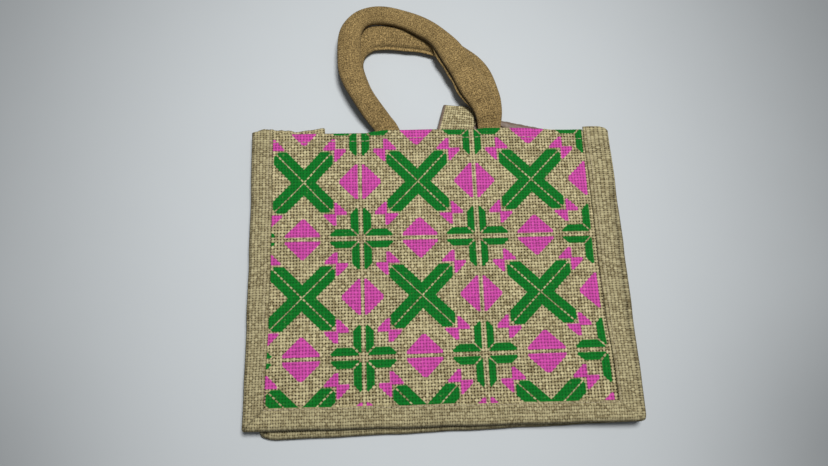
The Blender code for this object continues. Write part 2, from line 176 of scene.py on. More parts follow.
# Gusset, folded in between the panels
GUSSET_EDGE = 4.4 * MM
GUSSET_DEPTH = 50.5 * MM
GUSSET_INNER = GUSSET_LOWER + 2 * LAYER
GUSSET_STEP = (12.2 * MM, 15.6 * MM)
GUSSET_RIGHT_RISE = -1.5 * MM
GUSSET_LEFT_EDGE = np.array(
    [
        # distance in from the front's left side, rise of the gusset's top edge
        (0, -0.5),
        (5, 1.4),
        (8, 2.6),
        (11, 1.9),
        (14, 2.7),
        (17, 1.8),
        (20, 2.5),
        (23, 1.7),
        (26, 2.1),
        (30, 0.6),
        (40, 2.0),
        (51, 3.7),
    ]
)
GUSSET_HEM = 13 * MM
GUSSET_STATION = 4 * MM
GUSSET_SECOND, GUSSET_THIRD = 8 * MM, 18 * MM
GUSSET_STEP_POINTS, GUSSET_FLAT_POINTS, GUSSET_FOLD_POINTS, GUSSET_LOWER_POINTS = 6, 14, 8, 11

# Unevenness of the front
FRONT_WAVE = 0.5 * MM
FRONT_WAVE_LENGTHS = (150 * MM, 118 * MM)
FRONT_WAVE_FADES = (62 * MM, 96 * MM)
FRONT_SAG = 1.1 * MM
SAG_HALF_SIZE = (88 * MM, 72 * MM)
SAG_MIDDLE = -10 * MM
LONG_PUCKER, SHORT_PUCKER = 0.16 * MM, 0.07 * MM
PUCKER_FADES = (84 * MM, 98 * MM)
CORNER_LIFT = 3.0 * MM
CORNER_LIFT_REACH = 75 * MM
BACK_STEP = (15.2 * MM, 22 * MM)

# Handles: x, y, underside, width, thickness, all in millimetres
BACK_HANDLE = (
    (-24.5, 86, 3.1, 16.5, 1.8),
    (-29.0, 103.5, 3.1, 16.5, 1.9),
    (-34.5, 112, 1.4, 16.5, 5.2),
    (-42.0, 123, 0.0, 16.5, 7.6),
    (-49.6, 138, 0.0, 16.4, 8.0),
    (-54.2, 154, 0.0, 16.0, 8.0),
    (-51.8, 168, 0.0, 17.4, 8.0),
    (-43.0, 177.8, 0.0, 20.0, 8.0),
    (-31.0, 180.0, 0.0, 21.0, 8.0),
    (-17.0, 179.6, 0.0, 21.0, 8.0),
    (-4.0, 177.4, 0.0, 20.0, 8.0),
    (8.0, 173.8, 0.0, 18.5, 8.0),
    (19.0, 168.8, 0.0, 17.0, 8.0),
    (28.0, 163.0, 0.0, 17.0, 8.0),
    (35.8, 155.8, 0.0, 17.0, 8.0),
    (42.2, 145.0, 0.0, 17.0, 8.0),
    (45.9, 132.0, 0.6, 17.0, 7.6),
    (46.4, 122.0, 2.4, 17.0, 5.6),
    (46.2, 114.5, 3.3, 17.0, 3.6),
    (45.2, 104, 3.1, 16.5, 1.9),
    (45.2, 86, 3.1, 16.5, 1.8),
)
FRONT_HANDLE = (
    (-27.0, 86, 5.3, 16.5, 1.8),
    (-31.9, 104.9, 5.4, 16.0, 1.9),
    (-37.6, 112.4, 7.3, 15.5, 4.8),
    (-45.5, 124, 8.5, 15.5, 7.6),
    (-51.6, 135.5, 8.6, 17.0, 8.0),
    (-55.4, 147, 8.6, 17.8, 8.0),
    (-56.6, 159, 8.5, 18.2, 8.0),
    (-56.6, 170, 8.2, 17.6, 8.0),
    (-54.8, 181, 7.4, 16.0, 8.0),
    (-49.0, 190.2, 6.2, 15.0, 8.0),
    (-40.5, 194.8, 5.2, 14.5, 8.0),
    (-30.5, 195.4, 5.0, 14.5, 8.0),
    (-18.5, 192.3, 5.9, 15.0, 8.0),
    (-5.7, 186.2, 7.2, 15.5, 8.0),
    (6.5, 177.8, 8.0, 16.5, 8.0),
    (15.5, 167.6, 8.5, 18.5, 8.0),
    (22.5, 156, 8.5, 20.5, 8.0),
    (28.8, 144.5, 8.5, 21.5, 7.8),
    (34.2, 133.5, 8.5, 21.5, 7.6),
    (39.3, 123.5, 8.4, 20.0, 6.6),
    (42.5, 114.5, 7.9, 17.5, 4.6),
    (43.9, 105.4, 5.4, 16.0, 1.9),
    (44.0, 86, 5.3, 16.0, 1.8),
)
HANDLE_SIDES = 48
# The side turned from the lamp, toward which the handles' flanks get painted shade
HANDLE_SHADE_SIDE = np.array([-0.8, -0.6])
HANDLE_STEP = 0.85 * MM
HANDLE_LUMP = 0.03
HANDLE_LUMP_LENGTH = 31 * MM
HANDLE_DENT, HANDLE_FULLNESS, HANDLE_SQUARENESS = 0.05, 0.97, 0.82
HANDLE_RELIEF = 0.6
BACK_HANDLE_LIP = (0.25, 1.2 * MM, (0.36, 0.44, 0.92, 0.96))
FRONT_HANDLE_LIP = (-0.50, 3.0 * MM, (0.64, 0.68, 0.83, 0.88))
LIP_SPREAD, LIP_RAGGED = 0.15, 0.10
# Painted highlight on the seam lip (a negative shade), painted shadow in the gap beside it, painted
# shade on the flanks
LIP_SHADE, BESIDE_LIP, BESIDE_LIP_SPREAD, BESIDE_LIP_SHADE = -1.4, 0.34, 0.16, 0.5
FLANK_SPAN, FLANK_SHADE, FLANK_SHADE_MORE = (-0.15, 0.72), 0.12, 0.50
HANDLE_ROUND_FROM, HANDLE_ROUND_TO = 2.5 * MM, 6 * MM
HANDLE_PITCH = (1.7 * MM, 2.2 * MM)

# Closing tab
TAB_FOOT = ((2.9 * MM, 90 * MM), (32.6 * MM, 90 * MM))
TAB_TIP = ((13.1 * MM, 125 * MM), (34.2 * MM, 122.5 * MM))
TAB_DROOP_FROM, TAB_DROOP_TO = 115 * MM, 126 * MM
TAB_TIP_HEIGHT = 1.3 * MM
TAB_EDGE_STRIP = (-0.3 * MM, 2.2 * MM)
TAB_HALF_STRIP, TAB_LENGTH = 27 * MM, 35 * MM
TAB_WEAVE = 0.9
TAB_SLANT = 3.0 * MM
TAB_RIPPLE, TAB_RIPPLE_TURNS = 0.15 * MM, 300

# Stitches
STITCH_SIZES = {"Stitch pitch": 3.4 * MM, "Stitch length": 2.9 * MM, "Thread radius": 0.26 * MM}
BEAD_SEGMENTS, BEAD_RINGS = 7, 5
HEM_ROUTE_POINTS, BINDING_ROUTE_POINTS = 160, 90
HEM_STITCHES_DOWN = 6.9 * MM
HEM_STITCHES_SLANT, HEM_STITCHES_SLANT_SPAN = 1.0 * MM, (30 * MM, 90 * MM)
HEM_STITCHES_LIFT, BINDING_STITCHES_LIFT = 0.12 * MM, 0.1 * MM
BINDING_STITCHES_IN, BINDING_STITCHES_DOWN = 1.1 * MM, 1 * MM

# Print: where its lattice starts, and its chart, all in shares of its repeat
PRINT_ORIGIN = (-1.125, 0.79)
EDGE_SOFTNESS = 0.004
ARM_HALF, ARM_REACH, ARM_POINT, ARM_SPLIT, ARM_CENTRE = 0.112, 0.269, 0.500, 0.0068, 0.004
BAR_FROM, BAR_TO, BAR_REACH = 0.0195, 0.084, 0.268
BAR_SLIT, BAR_CENTRE = 0.009, 0.060
BAR_OUTER_BEND, BAR_INNER_BEND = (0.036, 1.1), (0.032, 0.7)
BOW_FROM, BOW_TO, BOW_IN, BOW_SIDE, BOW_SLANT = 0.281, 0.382, 0.183, 0.293, 0.117
LOZENGE_SPLIT, LOZENGE_SLANT, LOZENGE_POINT, LOZENGE_SIDE = 0.017, 0.188, 0.176, 0.150

# How far the worked cloth has carried the print, and between which places it does
TOP_STRETCH, TOP_STRETCH_SPAN = 2.2 * MM, (47 * MM, 102 * MM)
RIGHT_STRETCH, RIGHT_STRETCH_SPAN = 4.5 * MM, (38 * MM, 126 * MM)
LOW_STRETCH_SPAN = (-81 * MM, 15 * MM)
LEFT_STRETCH, LEFT_STRETCH_SPAN = 1.2 * MM, (-122 * MM, -50 * MM)
HIGH_STRETCH, HIGH_STRETCH_SPAN = 1.6 * MM, (5 * MM, 60 * MM)
TUCK, TUCK_FROM, TUCK_TO = 1.0 * MM, (-92 * MM, -72 * MM), (-60 * MM, -38 * MM)

# Studio
FLOOR_HALF = 3.0
FLOOR_LIT_MIDDLE = (-0.02, 0.02)
LAMP_PLACE, LAMP_AIM, LAMP_SIZE = (0.12, 0.27, 1.25), (0.0, 0.03, 0), 0.42
LAMP_COLOUR = (0.985, 0.98, 0.965)
SKY_COLOUR = (0.93, 0.965, 1.0, 1)
CAMERA_PLACE = (-0.0442, -0.0774, 0.4266)
CAMERA_RIGHT = (0.9973, -0.0379, 0.0627)
CAMERA_AHEAD = (0.0700, 0.2408, -0.9681)
CAMERA_LENS, CAMERA_SENSOR = 27.196, 36


# ---------------------------------------------------------------- cloth by formula


def smooth_step(value, low, high):
    """0 at low and below, 1 at high and above, with a smooth rise between."""
    share = np.clip((value - low) / (high - low), 0, 1)
    return share * share * (3 - 2 * share)


def blend(start, end, share):
    """start at share 0, end at share 1."""
    return start + (end - start) * share


def table_value(table, x):
    """Reads rows of (x, value), in millimetres, with smooth steps between them."""
    places, values = table[:, 0] * MM, table[:, 1] * MM
    row = np.clip(np.searchsorted(places, x) - 1, 0, len(places) - 2)
    return blend(values[row], values[row + 1], smooth_step(x, places[row], places[row + 1]))


def front_rise(x, y):
    """How far the front and what is sewn to it stand above their flat stack."""
    across = 2 * np.pi * x / FRONT_WAVE_LENGTHS[0]
    along = 2 * np.pi * y / FRONT_WAVE_LENGTHS[1]
    wave = FRONT_WAVE * (1 + np.sin(across + 0.7) * np.cos(along + 0.4))
    wave = wave * (1 - smooth_step(y, *FRONT_WAVE_FADES))
    corner_x, corner_y = FRONT_OUTLINE["bottom_right"]
    distance = np.hypot(x - corner_x, y - corner_y)
    return wave + CORNER_LIFT * (1 - smooth_step(distance, 0, CORNER_LIFT_REACH))


def front_sag(x, y):
    """How far the middle of the front panel sinks between its seams."""
    across = 1 - smooth_step(abs(x), 0, SAG_HALF_SIZE[0])
    along = 1 - smooth_step(abs(y - SAG_MIDDLE), 0, SAG_HALF_SIZE[1])
    return FRONT_SAG * across * along


def pucker(x, y):
    """Small hollows and swellings that seams and handling leave in the cloth."""
    long = np.sin(x * 61 + 2.1 * np.sin(y * 47)) * np.sin(y * 83 + 1.7 * np.sin(x * 39 + 1))
    short = np.sin(x * 173 + y * 59 + 0.6) * np.sin(y * 151 - x * 71 + 2.2)
    return LONG_PUCKER * long + SHORT_PUCKER * short


def hem_opened(x):
    """How far the back's hem fold has moved up where the hem is pulled open."""
    rising = smooth_step(x, HEM_OPENED_FROM, HEM_OPENED_PEAK)
    falling = np.clip((HEM_OPENED_TO - x) / (HEM_OPENED_TO - HEM_OPENED_PEAK), 0, 1)
    return HEM_OPENED * rising * falling


def over_fold(along, start, length):
    """(distance up, turn) of a point of cloth that folds back at start and ends length on."""
    end = start + np.pi * FOLD_RADIUS + length
    along = np.minimum(along, end)
    turn = np.clip((along - start) / FOLD_RADIUS, 0, np.pi)
    back = np.maximum(along - start - np.pi * FOLD_RADIUS, 0)
    return np.minimum(along, start) + FOLD_RADIUS * np.sin(turn) - back, turn


def front_place(across, along):
    """(points, turn) of the front panel's cloth, with its hem turned down and in."""
    start = FRONT_OUTLINE["top_left"][1] + table_value(FRONT_TOP_EDGE, across)
    start = start - LAYER_THICKNESS / 2 - FOLD_RADIUS
    flat = np.minimum(along, start)
    up, turn = over_fold(along, start, FRONT_HEM)
    height = FRONT_PANEL + front_rise(across, flat) - front_sag(across, flat)
    height = height + pucker(across, flat) * (1 - smooth_step(flat, *PUCKER_FADES))
    return np.stack([across, up, height - FOLD_RADIUS * (1 - np.cos(turn))], -1), turn


def back_place(across, along):
    """(points, turn) of the back panel's cloth, with its hem turned up and in."""
    left, right = BACK_OUTLINE["top_left"], BACK_OUTLINE["top_right"]
    share = (across - left[0]) / (right[0] - left[0])
    start = blend(left[1], right[1], share) + hem_opened(across)
    start = start - LAYER_THICKNESS / 2 - FOLD_RADIUS
    up, turn = over_fold(along, start, BACK_HEM - hem_opened(across))
    side = np.minimum(across - BACK_OUTLINE["bottom_left"][0], right[0] - across)
    bottom = np.minimum(along, start) - BACK_OUTLINE["bottom_left"][1]
    seam = 1 - smooth_step(np.minimum(side, bottom), *BACK_STEP)
    height = blend(FLOOR_LAYER, BACK_PANEL_EDGE, seam)
    return np.stack([across, up, height + FOLD_RADIUS * (1 - np.cos(turn))], -1), turn


def relief(across, along, pitch, seed):
    """-1 in the gaps between yarns, 1 on top of a crossing, a little uneven."""
    column = np.floor(across / pitch[0]).astype(int)
    row = np.floor(along / pitch[1]).astype(int)
    draw = np.random.default_rng(seed)
    warp_size, weft_size = draw.uniform(*YARN_SIZES, (2, DRAWN_YARNS))
    crown = -(np.cos(2 * np.pi * across / pitch[0]) + np.cos(2 * np.pi * along / pitch[1])) / 2
    size = (warp_size[column % DRAWN_YARNS] + weft_size[row % DRAWN_YARNS]) / 2
    return crown * np.where(crown > 0, size, 1)


# ---------------------------------------------------------------- meshes


def welded(points, faces):
    """Points in one place made one, and the faces that are more than a line.

    Returns the points, the faces, each face's old number with the corners that it keeps,
    and each point's old number.
    """
    keys = np.round(points / WELD_REACH).astype(np.int64)
    _, first, index = np.unique(keys, axis=0, return_index=True, return_inverse=True)
    index = index.reshape(-1)[faces]
    kept_faces, kept = [], []
    for number, face in enumerate(index.tolist()):
        corners = [c for i, c in enumerate(face) if c != face[i - 1]]
        if len(corners) >= 3 and len(set(corners)) == len(corners):
            kept_faces.append(corners)
            kept.append((number, [i for i, c in enumerate(face) if c != face[i - 1]]))
    return points[first], kept_faces, kept, first


def point_normals(points, faces):
    """Normals of the points, as the mean of their faces'."""
    normals = np.zeros_like(points)
    for size in (3, 4):
        some = np.array([face for face in faces if len(face) == size])
        if not len(some):
            continue
        ends = points[some]
        if size == 3:
            facing = np.cross(ends[:, 1] - ends[:, 0], ends[:, 2] - ends[:, 0])
        else:
            facing = np.cross(ends[:, 2] - ends[:, 0], ends[:, 3] - ends[:, 1])
        for corner in range(size):
            np.add.at(normals, some[:, corner], facing)
    return normals / np.maximum(np.linalg.norm(normals, axis=1, keepdims=True), 1e-12)


def object_of(name, points, faces, uv, looks, slots, shade=None):
    """A mesh object. uv holds a pair for each corner and slots a material for each face."""
    mesh = bpy.data.meshes.new(name)
    mesh.from_pydata(points, [], faces)
    layer = mesh.uv_layers.new(name="Cloth")
    layer.data.foreach_set("uv", np.asarray(uv, np.float32).reshape(-1))
    for finish in looks:
        mesh.materials.append(finish)
    mesh.polygons.foreach_set("material_index", np.asarray(slots, np.int32))
    if shade is not None:
        attribute = mesh.attributes.new("shade", "FLOAT", "POINT")
        attribute.data.foreach_set("value", np.asarray(shade, np.float32))
    mesh.update()
    mesh.shade_smooth()
    made = bpy.data.objects.new(name, mesh)
    bpy.context.scene.collection.objects.link(made)
    return made


def thick_cloth(name, points, uv, faces, marks, depth, looks, cloth, shade=None):
    """Cloth on both sides of a grid of quads.

    uv is the flat place of each corner of each face. marks gives each face its material,
    as a pair of numbers for its outer side, which is where its normal points, and its
    inner side. depth is how far each point's yarn stands out of the outer side. shade is
    how much darker the cloth is at each point.
    """
    if shade is None:
        shade = np.zeros(len(points))
    middle, quads, kept, first = welded(points, faces)
    normals = point_normals(middle, quads)
    depth, shade = depth[first], shade[first]
    outer = middle + normals * (cloth / 2 + depth)[:, None]
    inner = middle - normals * (cloth / 2)
    count = len(middle)
    solid_faces, solid_uv, slots = [], [], []
    edges = {}
    for face, (number, corners) in zip(quads, kept):
        places = uv[number][corners]
        for i, corner in enumerate(face):
            after = (i + 1) % len(face)
            edges[corner, face[after]] = (places[i], places[after], marks[number][0])
        solid_faces.append(face)
        solid_uv.extend(places)
        slots.append(marks[number][0])
        solid_faces.append([corner + count for corner in reversed(face)])
        solid_uv.extend(places[::-1])
        slots.append(marks[number][1])
    for (a, b), (from_uv, to_uv, mark) in edges.items():
        if (b, a) not in edges:
            solid_faces.append([b, a, a + count, b + count])
            solid_uv.extend([to_uv, from_uv, from_uv, to_uv])
            slots.append(mark)
    both = np.concatenate([outer, inner])
    return object_of(name, both, solid_faces, solid_uv, looks, slots, np.tile(shade, 2))


def grid_faces(rows, columns, keep=None):
    """Quads of a grid whose points are numbered row by row."""
    i, j = np.meshgrid(np.arange(rows - 1), np.arange(columns - 1), indexing="ij")
    a = i * columns + j
    faces = np.stack([a, a + 1, a + columns + 1, a + columns], -1).reshape(-1, 4)
    if keep is not None:
        faces = faces[keep.reshape(-1)[faces].all(1)]
    return faces


def one_mark_a_side(faces):
    """The first material outside and the second inside, for every face."""
    marks = np.zeros((len(faces), 2), int)
    marks[:, 1] = 1
    return marks


def upward(points, faces):
    """How far the normal of each quad points up."""
    ends = points[faces]
    return np.cross(ends[:, 2] - ends[:, 0], ends[:, 3] - ends[:, 1])[:, 2]


def half_yarns(low, high, pitch):
    """Flat places at each yarn and each gap from low to high."""
    step = pitch / 2
    return np.arange(round(low / step), round(high / step) + 1) * step


# ---------------------------------------------------------------- materials


def plug(tree, value, socket):
    """Links a term or a socket to the input, or sets the input to a plain value."""
    if isinstance(value, Term):
        tree.links.new(value.source, socket)
    elif isinstance(value, bpy.types.NodeSocket):
        tree.links.new(value, socket)
    else:
        socket.default_value = value


class Term:
    """A value in a node tree, so that a pattern reads as a formula."""

    def __init__(self, tree, source):
        self.tree = tree
        self.source = source

    def made(self, operation, *values):
        node = self.tree.nodes.new("ShaderNodeMath")
        node.operation = operation
        for socket, value in zip(node.inputs, values):
            plug(self.tree, value, socket)
        return Term(self.tree, node.outputs[0])

    def __add__(self, other):
        return self.made("ADD", self, other)

    def __sub__(self, other):
        return self.made("SUBTRACT", self, other)

    def __rsub__(self, other):
        return self.made("SUBTRACT", other, self)

    def __mul__(self, other):
        return self.made("MULTIPLY", self, other)

    def __truediv__(self, other):
        return self.made("DIVIDE", self, other)

    def __abs__(self):
        return self.made("ABSOLUTE", self)

    def floor(self):
        return self.made("FLOOR", self)

    def fract(self):
        return self.made("FRACT", self)

    def cosine(self):
        return self.made("COSINE", self)

    def root(self):
        return self.made("SQRT", self)

    def least(self, other):
        return self.made("MINIMUM", self, other)

    def most(self, other):
        return self.made("MAXIMUM", self, other)

    def eased(self, low, high):
        """0 at low, 1 at high, with a smooth rise between."""
        node = self.tree.nodes.new("ShaderNodeMapRange")
        node.interpolation_type = "SMOOTHSTEP"
        for name, value in (("Value", self), ("From Min", low), ("From Max", high)):
            plug(self.tree, value, node.inputs[name])
        return Term(self.tree, node.outputs["Result"])


def noise(tree, vector, scale, detail=2.0, roughness=0.5):
    """Smooth chance values from about 0 to 1."""
    node = tree.nodes.new("ShaderNodeTexNoise")
    plug(tree, vector, node.inputs["Vector"])
    node.inputs["Scale"].default_value = scale
    node.inputs["Detail"].default_value = detail
    node.inputs["Roughness"].default_value = roughness
    return Term(tree, node.outputs["Fac"])


def chance(tree, number, seed):
    """A value from 0 to 1 that differs from one whole number to the next."""
    node = tree.nodes.new("ShaderNodeTexWhiteNoise")
    node.noise_dimensions = "1D"
    plug(tree, number + seed, node.inputs["W"])
    return Term(tree, node.outputs["Value"])


def joined(tree, x, y, z=0.0):
    """A vector of three terms or numbers."""
    node = tree.nodes.new("ShaderNodeCombineXYZ")
    for socket, value in zip(node.inputs, (x, y, z)):
        plug(tree, value, socket)
    return node.outputs[0]


def mixed(tree, share, first, second):
    """Colour from first to second."""
    node = tree.nodes.new("ShaderNodeMix")
    node.data_type = "RGBA"
    plug(tree, share, node.inputs[0])
    for value, socket in ((first, node.inputs[6]), (second, node.inputs[7])):
        plug(tree, (*value, 1) if isinstance(value, tuple) else value, socket)
    return node.outputs[2]


def scaled(tree, colour, amount):
    """Colour made darker or lighter by a term."""
    node = tree.nodes.new("ShaderNodeVectorMath")
    node.operation = "SCALE"
    plug(tree, colour, node.inputs[0])
    plug(tree, amount, node.inputs["Scale"])
    return node.outputs[0]


def cloth_position(tree):
    """(across, along) of the flat cloth, in metres."""
    source = tree.nodes.new("ShaderNodeUVMap")
    source.uv_map = "Cloth"
    parts = tree.nodes.new("ShaderNodeSeparateXYZ")
    tree.links.new(source.outputs["UV"], parts.inputs[0])
    return Term(tree, parts.outputs[0]), Term(tree, parts.outputs[1])


def plain_weave(tree, across, along, pitch, cover, seed):
    """Height of the yarns, how open the gap is, their tone, and the crossing's middle.

    cover is the share of the pitch that a yarn covers.
    """
    drift = noise(tree, joined(tree, across, along), DRIFT_SCALE, 1.0) - 0.5
    drift_up = noise(tree, joined(tree, along, across, 7.3), DRIFT_SCALE, 1.0) - 0.5
    warp_place = across / pitch[0] + drift * YARN_DRIFT
    weft_place = along / pitch[1] + drift_up * YARN_DRIFT
    column, row = warp_place.floor(), weft_place.floor()
    a, b = warp_place.fract() - 0.5, weft_place.fract() - 0.5
    warp_luck, weft_luck = chance(tree, column, seed), chance(tree, row, seed + 517.0)
    swell = noise(tree, joined(tree, column * 5.7, along / pitch[1] * 0.7, seed), 1.0, 1.0)
    swell_up = noise(tree, joined(tree, across / pitch[0] * 0.7, row * 6.1, seed), 1.0, 1.0)
    warp_half = (warp_luck - 0.5) * YARN_LUCK + (swell - 0.5) * YARN_SWELL + cover / 2
    weft_half = (weft_luck - 0.5) * YARN_LUCK + (swell_up - 0.5) * YARN_SWELL + cover / 2
    sign = 1.0 - ((column + row) * 0.5).fract() * 4.0
    warp_lift = sign * (b * math.pi).cosine() * YARN_LIFT
    weft_lift = (sign * (a * math.pi).cosine() * YARN_LIFT) * -1.0

    def yarn_height(place, half, lift):
        """Height of a round yarn at a place from its middle, with a drop at its edge."""
        turned = place / half
        within = (1.0 - turned * turned).most(0.0)
        drop = (1.0 - within.eased(0.0, 0.12)) * YARN_EDGE_DROP
        return within.root() * YARN_ROUND + lift - drop

    warp_high = yarn_height(a, warp_half, warp_lift)
    weft_high = yarn_height(b, weft_half, weft_lift)
    height = warp_high.most(weft_high).most(-1.0)
    is_warp = (warp_high - weft_high).eased(-0.05, 0.05)
    fine, long = FIBRE_SCALES
    fibre = noise(tree, joined(tree, across * fine, along * long, seed), 1.0, 3.0, 0.7)
    fibre_up = noise(tree, joined(tree, across * long, along * fine, seed), 1.0, 3.0, 0.7)
    warp_tone = warp_luck * 0.14 + swell * 0.34 + fibre * 1.5
    weft_tone = weft_luck * 0.14 + swell_up * 0.34 + fibre_up * 1.5
    crossing = chance(tree, column * 13.37 + row * 7.71, seed + 91.0)
    tone = weft_tone + (warp_tone - weft_tone) * is_warp + crossing * 0.34 - 0.62
    gap = 1.0 - height.eased(-0.70, 0.05)
    return height, gap, tone, (column + 0.5) * pitch[0], (row + 0.5) * pitch[1]


def new_material(name):
    """A material with its node tree and its shader."""
    made = bpy.data.materials.new(name)
    made.use_nodes = True
    tree = made.node_tree
    return made, tree, tree.nodes["Principled BSDF"]


def yarn_colour(tree, tone, height, gap, dark, light, gap_shade, across, along):
    """Straw colours by yarn, with painted shade low on the yarns and between them, blotched by the
    bale.
    """
    colour = mixed(tree, tone.eased(0.1, 0.9), dark, light)
    blotch = noise(tree, joined(tree, across, along, 3.1), 40.0, 3.0, 0.6)
    # painted shade: the colour darkens where the yarn dips below its crown
    crown = height.eased(CROWN_SHADE_FROM, 1.0)
    colour = scaled(tree, colour, crown * 0.86 + blotch * 0.34 + 0.26)
    # painted shade in the gaps between the yarns
    return mixed(tree, gap, colour, gap_shade)


def shade_of(tree):
    """Painted shade kept on the piece: darker in its folds, grooves and flanks turned from the
    lamp, lighter on the seam lips.
    """
    node = tree.nodes.new("ShaderNodeAttribute")
    node.attribute_name = "shade"
    return Term(tree, node.outputs["Fac"])


def finish_cloth(tree, shader, colour, height, bump, roughness, sheen=0.03):
    """Sets the shader to cloth of that colour, with the yarns' height as its bump."""
    # painted shade and painted highlight from the piece's shade attribute
    colour = scaled(tree, colour, 1.0 - shade_of(tree))
    tree.links.new(colour, shader.inputs["Base Color"])
    shader.inputs["Roughness"].default_value = roughness
    shader.inputs["Specular IOR Level"].default_value = 0.10
    shader.inputs["Sheen Weight"].default_value = sheen
    shader.inputs["Sheen Roughness"].default_value = 0.5
    node = tree.nodes.new("ShaderNodeBump")
    node.inputs["Strength"].default_value = 0.75
    node.inputs["Distance"].default_value = bump
    plug(tree, height, node.inputs["Height"])
    tree.links.new(node.outputs["Normal"], shader.inputs["Normal"])


def burlap_material(name, pitch, cover, seed, dark, light, gap_shade):
    """Plain burlap."""
    made, tree, shader = new_material(name)
    across, along = cloth_position(tree)
    height, gap, tone, _, _ = plain_weave(tree, across, along, pitch, cover, seed)
    colour = yarn_colour(tree, tone, height, gap, dark, light, gap_shade, across, along)
    finish_cloth(tree, shader, colour, height + tone * 0.15, YARN_BUMP, 0.9)
    return made


def print_masks(across, along, repeat):
    """Green and magenta parts of the print, as formulas of the place in its repeat.

    The repeat has a saltire at its corners, a cross of split bars at its middle, split
    lozenges between them, and a bow of two small triangles off each tip of the saltire.
    """
    u = across / repeat - PRINT_ORIGIN[0]
    v = along / repeat * -1.0 + PRINT_ORIGIN[1]
    x, y = abs((u + 0.5).fract() - 0.5), abs((v + 0.5).fract() - 0.5)

    def inside(*limits):
        """1 where every limit is above 0."""
        least = limits[0]
        for limit in limits[1:]:
            least = least.least(limit)
        return least.eased(-EDGE_SOFTNESS, EDGE_SOFTNESS)

    def lozenge(split, beside):
        """A lozenge that is split where the first term is 0."""
        return inside(
            split - LOZENGE_SPLIT,
            LOZENGE_SLANT - split - beside,
            LOZENGE_POINT - split,
            LOZENGE_SIDE - beside,
        )

    short, long = x.least(y), x.most(y)
    arms = inside(
        ARM_HALF - abs(x - y),
        ARM_REACH - long,
        ARM_POINT - (x + y),
        (abs(x - y) - ARM_SPLIT).most(long * -1.0 + ARM_CENTRE),
    )
    bar_x, bar_y = 0.5 - x, 0.5 - y
    thin, far = bar_x.least(bar_y), bar_x.most(bar_y)
    outer_bend = (thin - BAR_OUTER_BEND[0]).most(0.0) * BAR_OUTER_BEND[1]
    inner_bend = (BAR_INNER_BEND[0] - thin).most(0.0) * BAR_INNER_BEND[1]
    bars = inside(
        thin - BAR_FROM,
        BAR_TO - thin,
        far - thin - BAR_SLIT,
        thin + far - BAR_CENTRE,
        BAR_REACH - far - outer_bend - inner_bend,
    )
    bows = inside(
        long - BOW_FROM,
        BOW_SIDE - short,
        BOW_SLANT - (long - short),
        BOW_TO - long,
        short - BOW_IN,
    )
    return arms.most(bars), bows.most(lozenge(bar_x, y)).most(lozenge(bar_y, x))


def stretched(across, along):
    """The place on the flat print that lies at a place of the worked cloth.

    The cloth has been drawn up to the top fold, out to the right, most of all low down,
    and a little to the left low down. At the upper left it has slipped in a little.
    """
    up = along.eased(*TOP_STRETCH_SPAN)
    right = across.eased(*RIGHT_STRETCH_SPAN)
    low = 1.0 - along.eased(*LOW_STRETCH_SPAN)
    left = 1.0 - across.eased(*LEFT_STRETCH_SPAN)
    out = right * (low * 0.62 + up * 0.3 + 0.42) * RIGHT_STRETCH
    high = along.eased(*HIGH_STRETCH_SPAN)
    out = out + left * (high * HIGH_STRETCH - low * LEFT_STRETCH)
    tuck = across.eased(*TUCK_FROM) * (1.0 - across.eased(*TUCK_TO))
    out = out - tuck * high * TUCK
    return across - out, along - up * TOP_STRETCH


def printed_material(name, cloth, print_settings):
    """Burlap with its print. The ink takes the place of the yarn that it lies on."""
    made, tree, shader = new_material(name)
    across, along = cloth_position(tree)
    pitch = (cloth.yarn_pitch, cloth.yarn_pitch)
    height, gap, tone, middle_x, middle_y = plain_weave(tree, across, along, pitch, 0.65, 11.0)
    plain = yarn_colour(
        tree, tone, height, gap, STRAW_DARK, STRAW_LIGHT, STRAW_GAP_SHADE, across, along
    )
    step, keep = print_settings.yarn_step, 1.0 - print_settings.yarn_step
    bleed = noise(tree, joined(tree, across, along, 1.7), 900.0, 1.0) - 0.5
    bleed_up = noise(tree, joined(tree, across, along, 5.9), 900.0, 1.0) - 0.5
    ink_x = middle_x * step + across * keep + bleed * 0.6 * MM
    ink_y = middle_y * step + along * keep + bleed_up * 0.6 * MM
    ink_x, ink_y = stretched(ink_x, ink_y)
    green, magenta = print_masks(ink_x, ink_y, print_settings.repeat)
    worn = noise(tree, joined(tree, across, along, 9.4), 420.0, 2.0).eased(0.60, 0.80)
    cover = 1.0 - worn * 0.22
    # painted shade: the inks darken where the yarns dip low
    crown = height.eased(CROWN_SHADE_FROM, 1.0)
    green_strength = tone * 0.34 + crown * 0.24 + 0.66
    magenta_strength = tone * 0.52 + crown * 0.50 + 0.42
    green_colour = tuple(print_settings.green[:3])
    magenta_colour = tuple(print_settings.magenta[:3])
    # painted shade of the inks in the gaps between the yarns
    green_gap_shade = tuple(part * 0.55 for part in green_colour)
    magenta_gap_shade = tuple(part * 0.50 for part in magenta_colour)
    green_ink = scaled(tree, green_colour, green_strength)
    magenta_ink = scaled(tree, magenta_colour, magenta_strength)
    green_ink = mixed(tree, gap * 0.7, green_ink, green_gap_shade)
    magenta_ink = mixed(tree, gap * 0.85, magenta_ink, magenta_gap_shade)
    colour = mixed(tree, magenta * cover, plain, magenta_ink)
    colour = mixed(tree, green * cover, colour, green_ink)
    finish_cloth(tree, shader, colour, height + tone * 0.15, YARN_BUMP, 0.86)
    return made


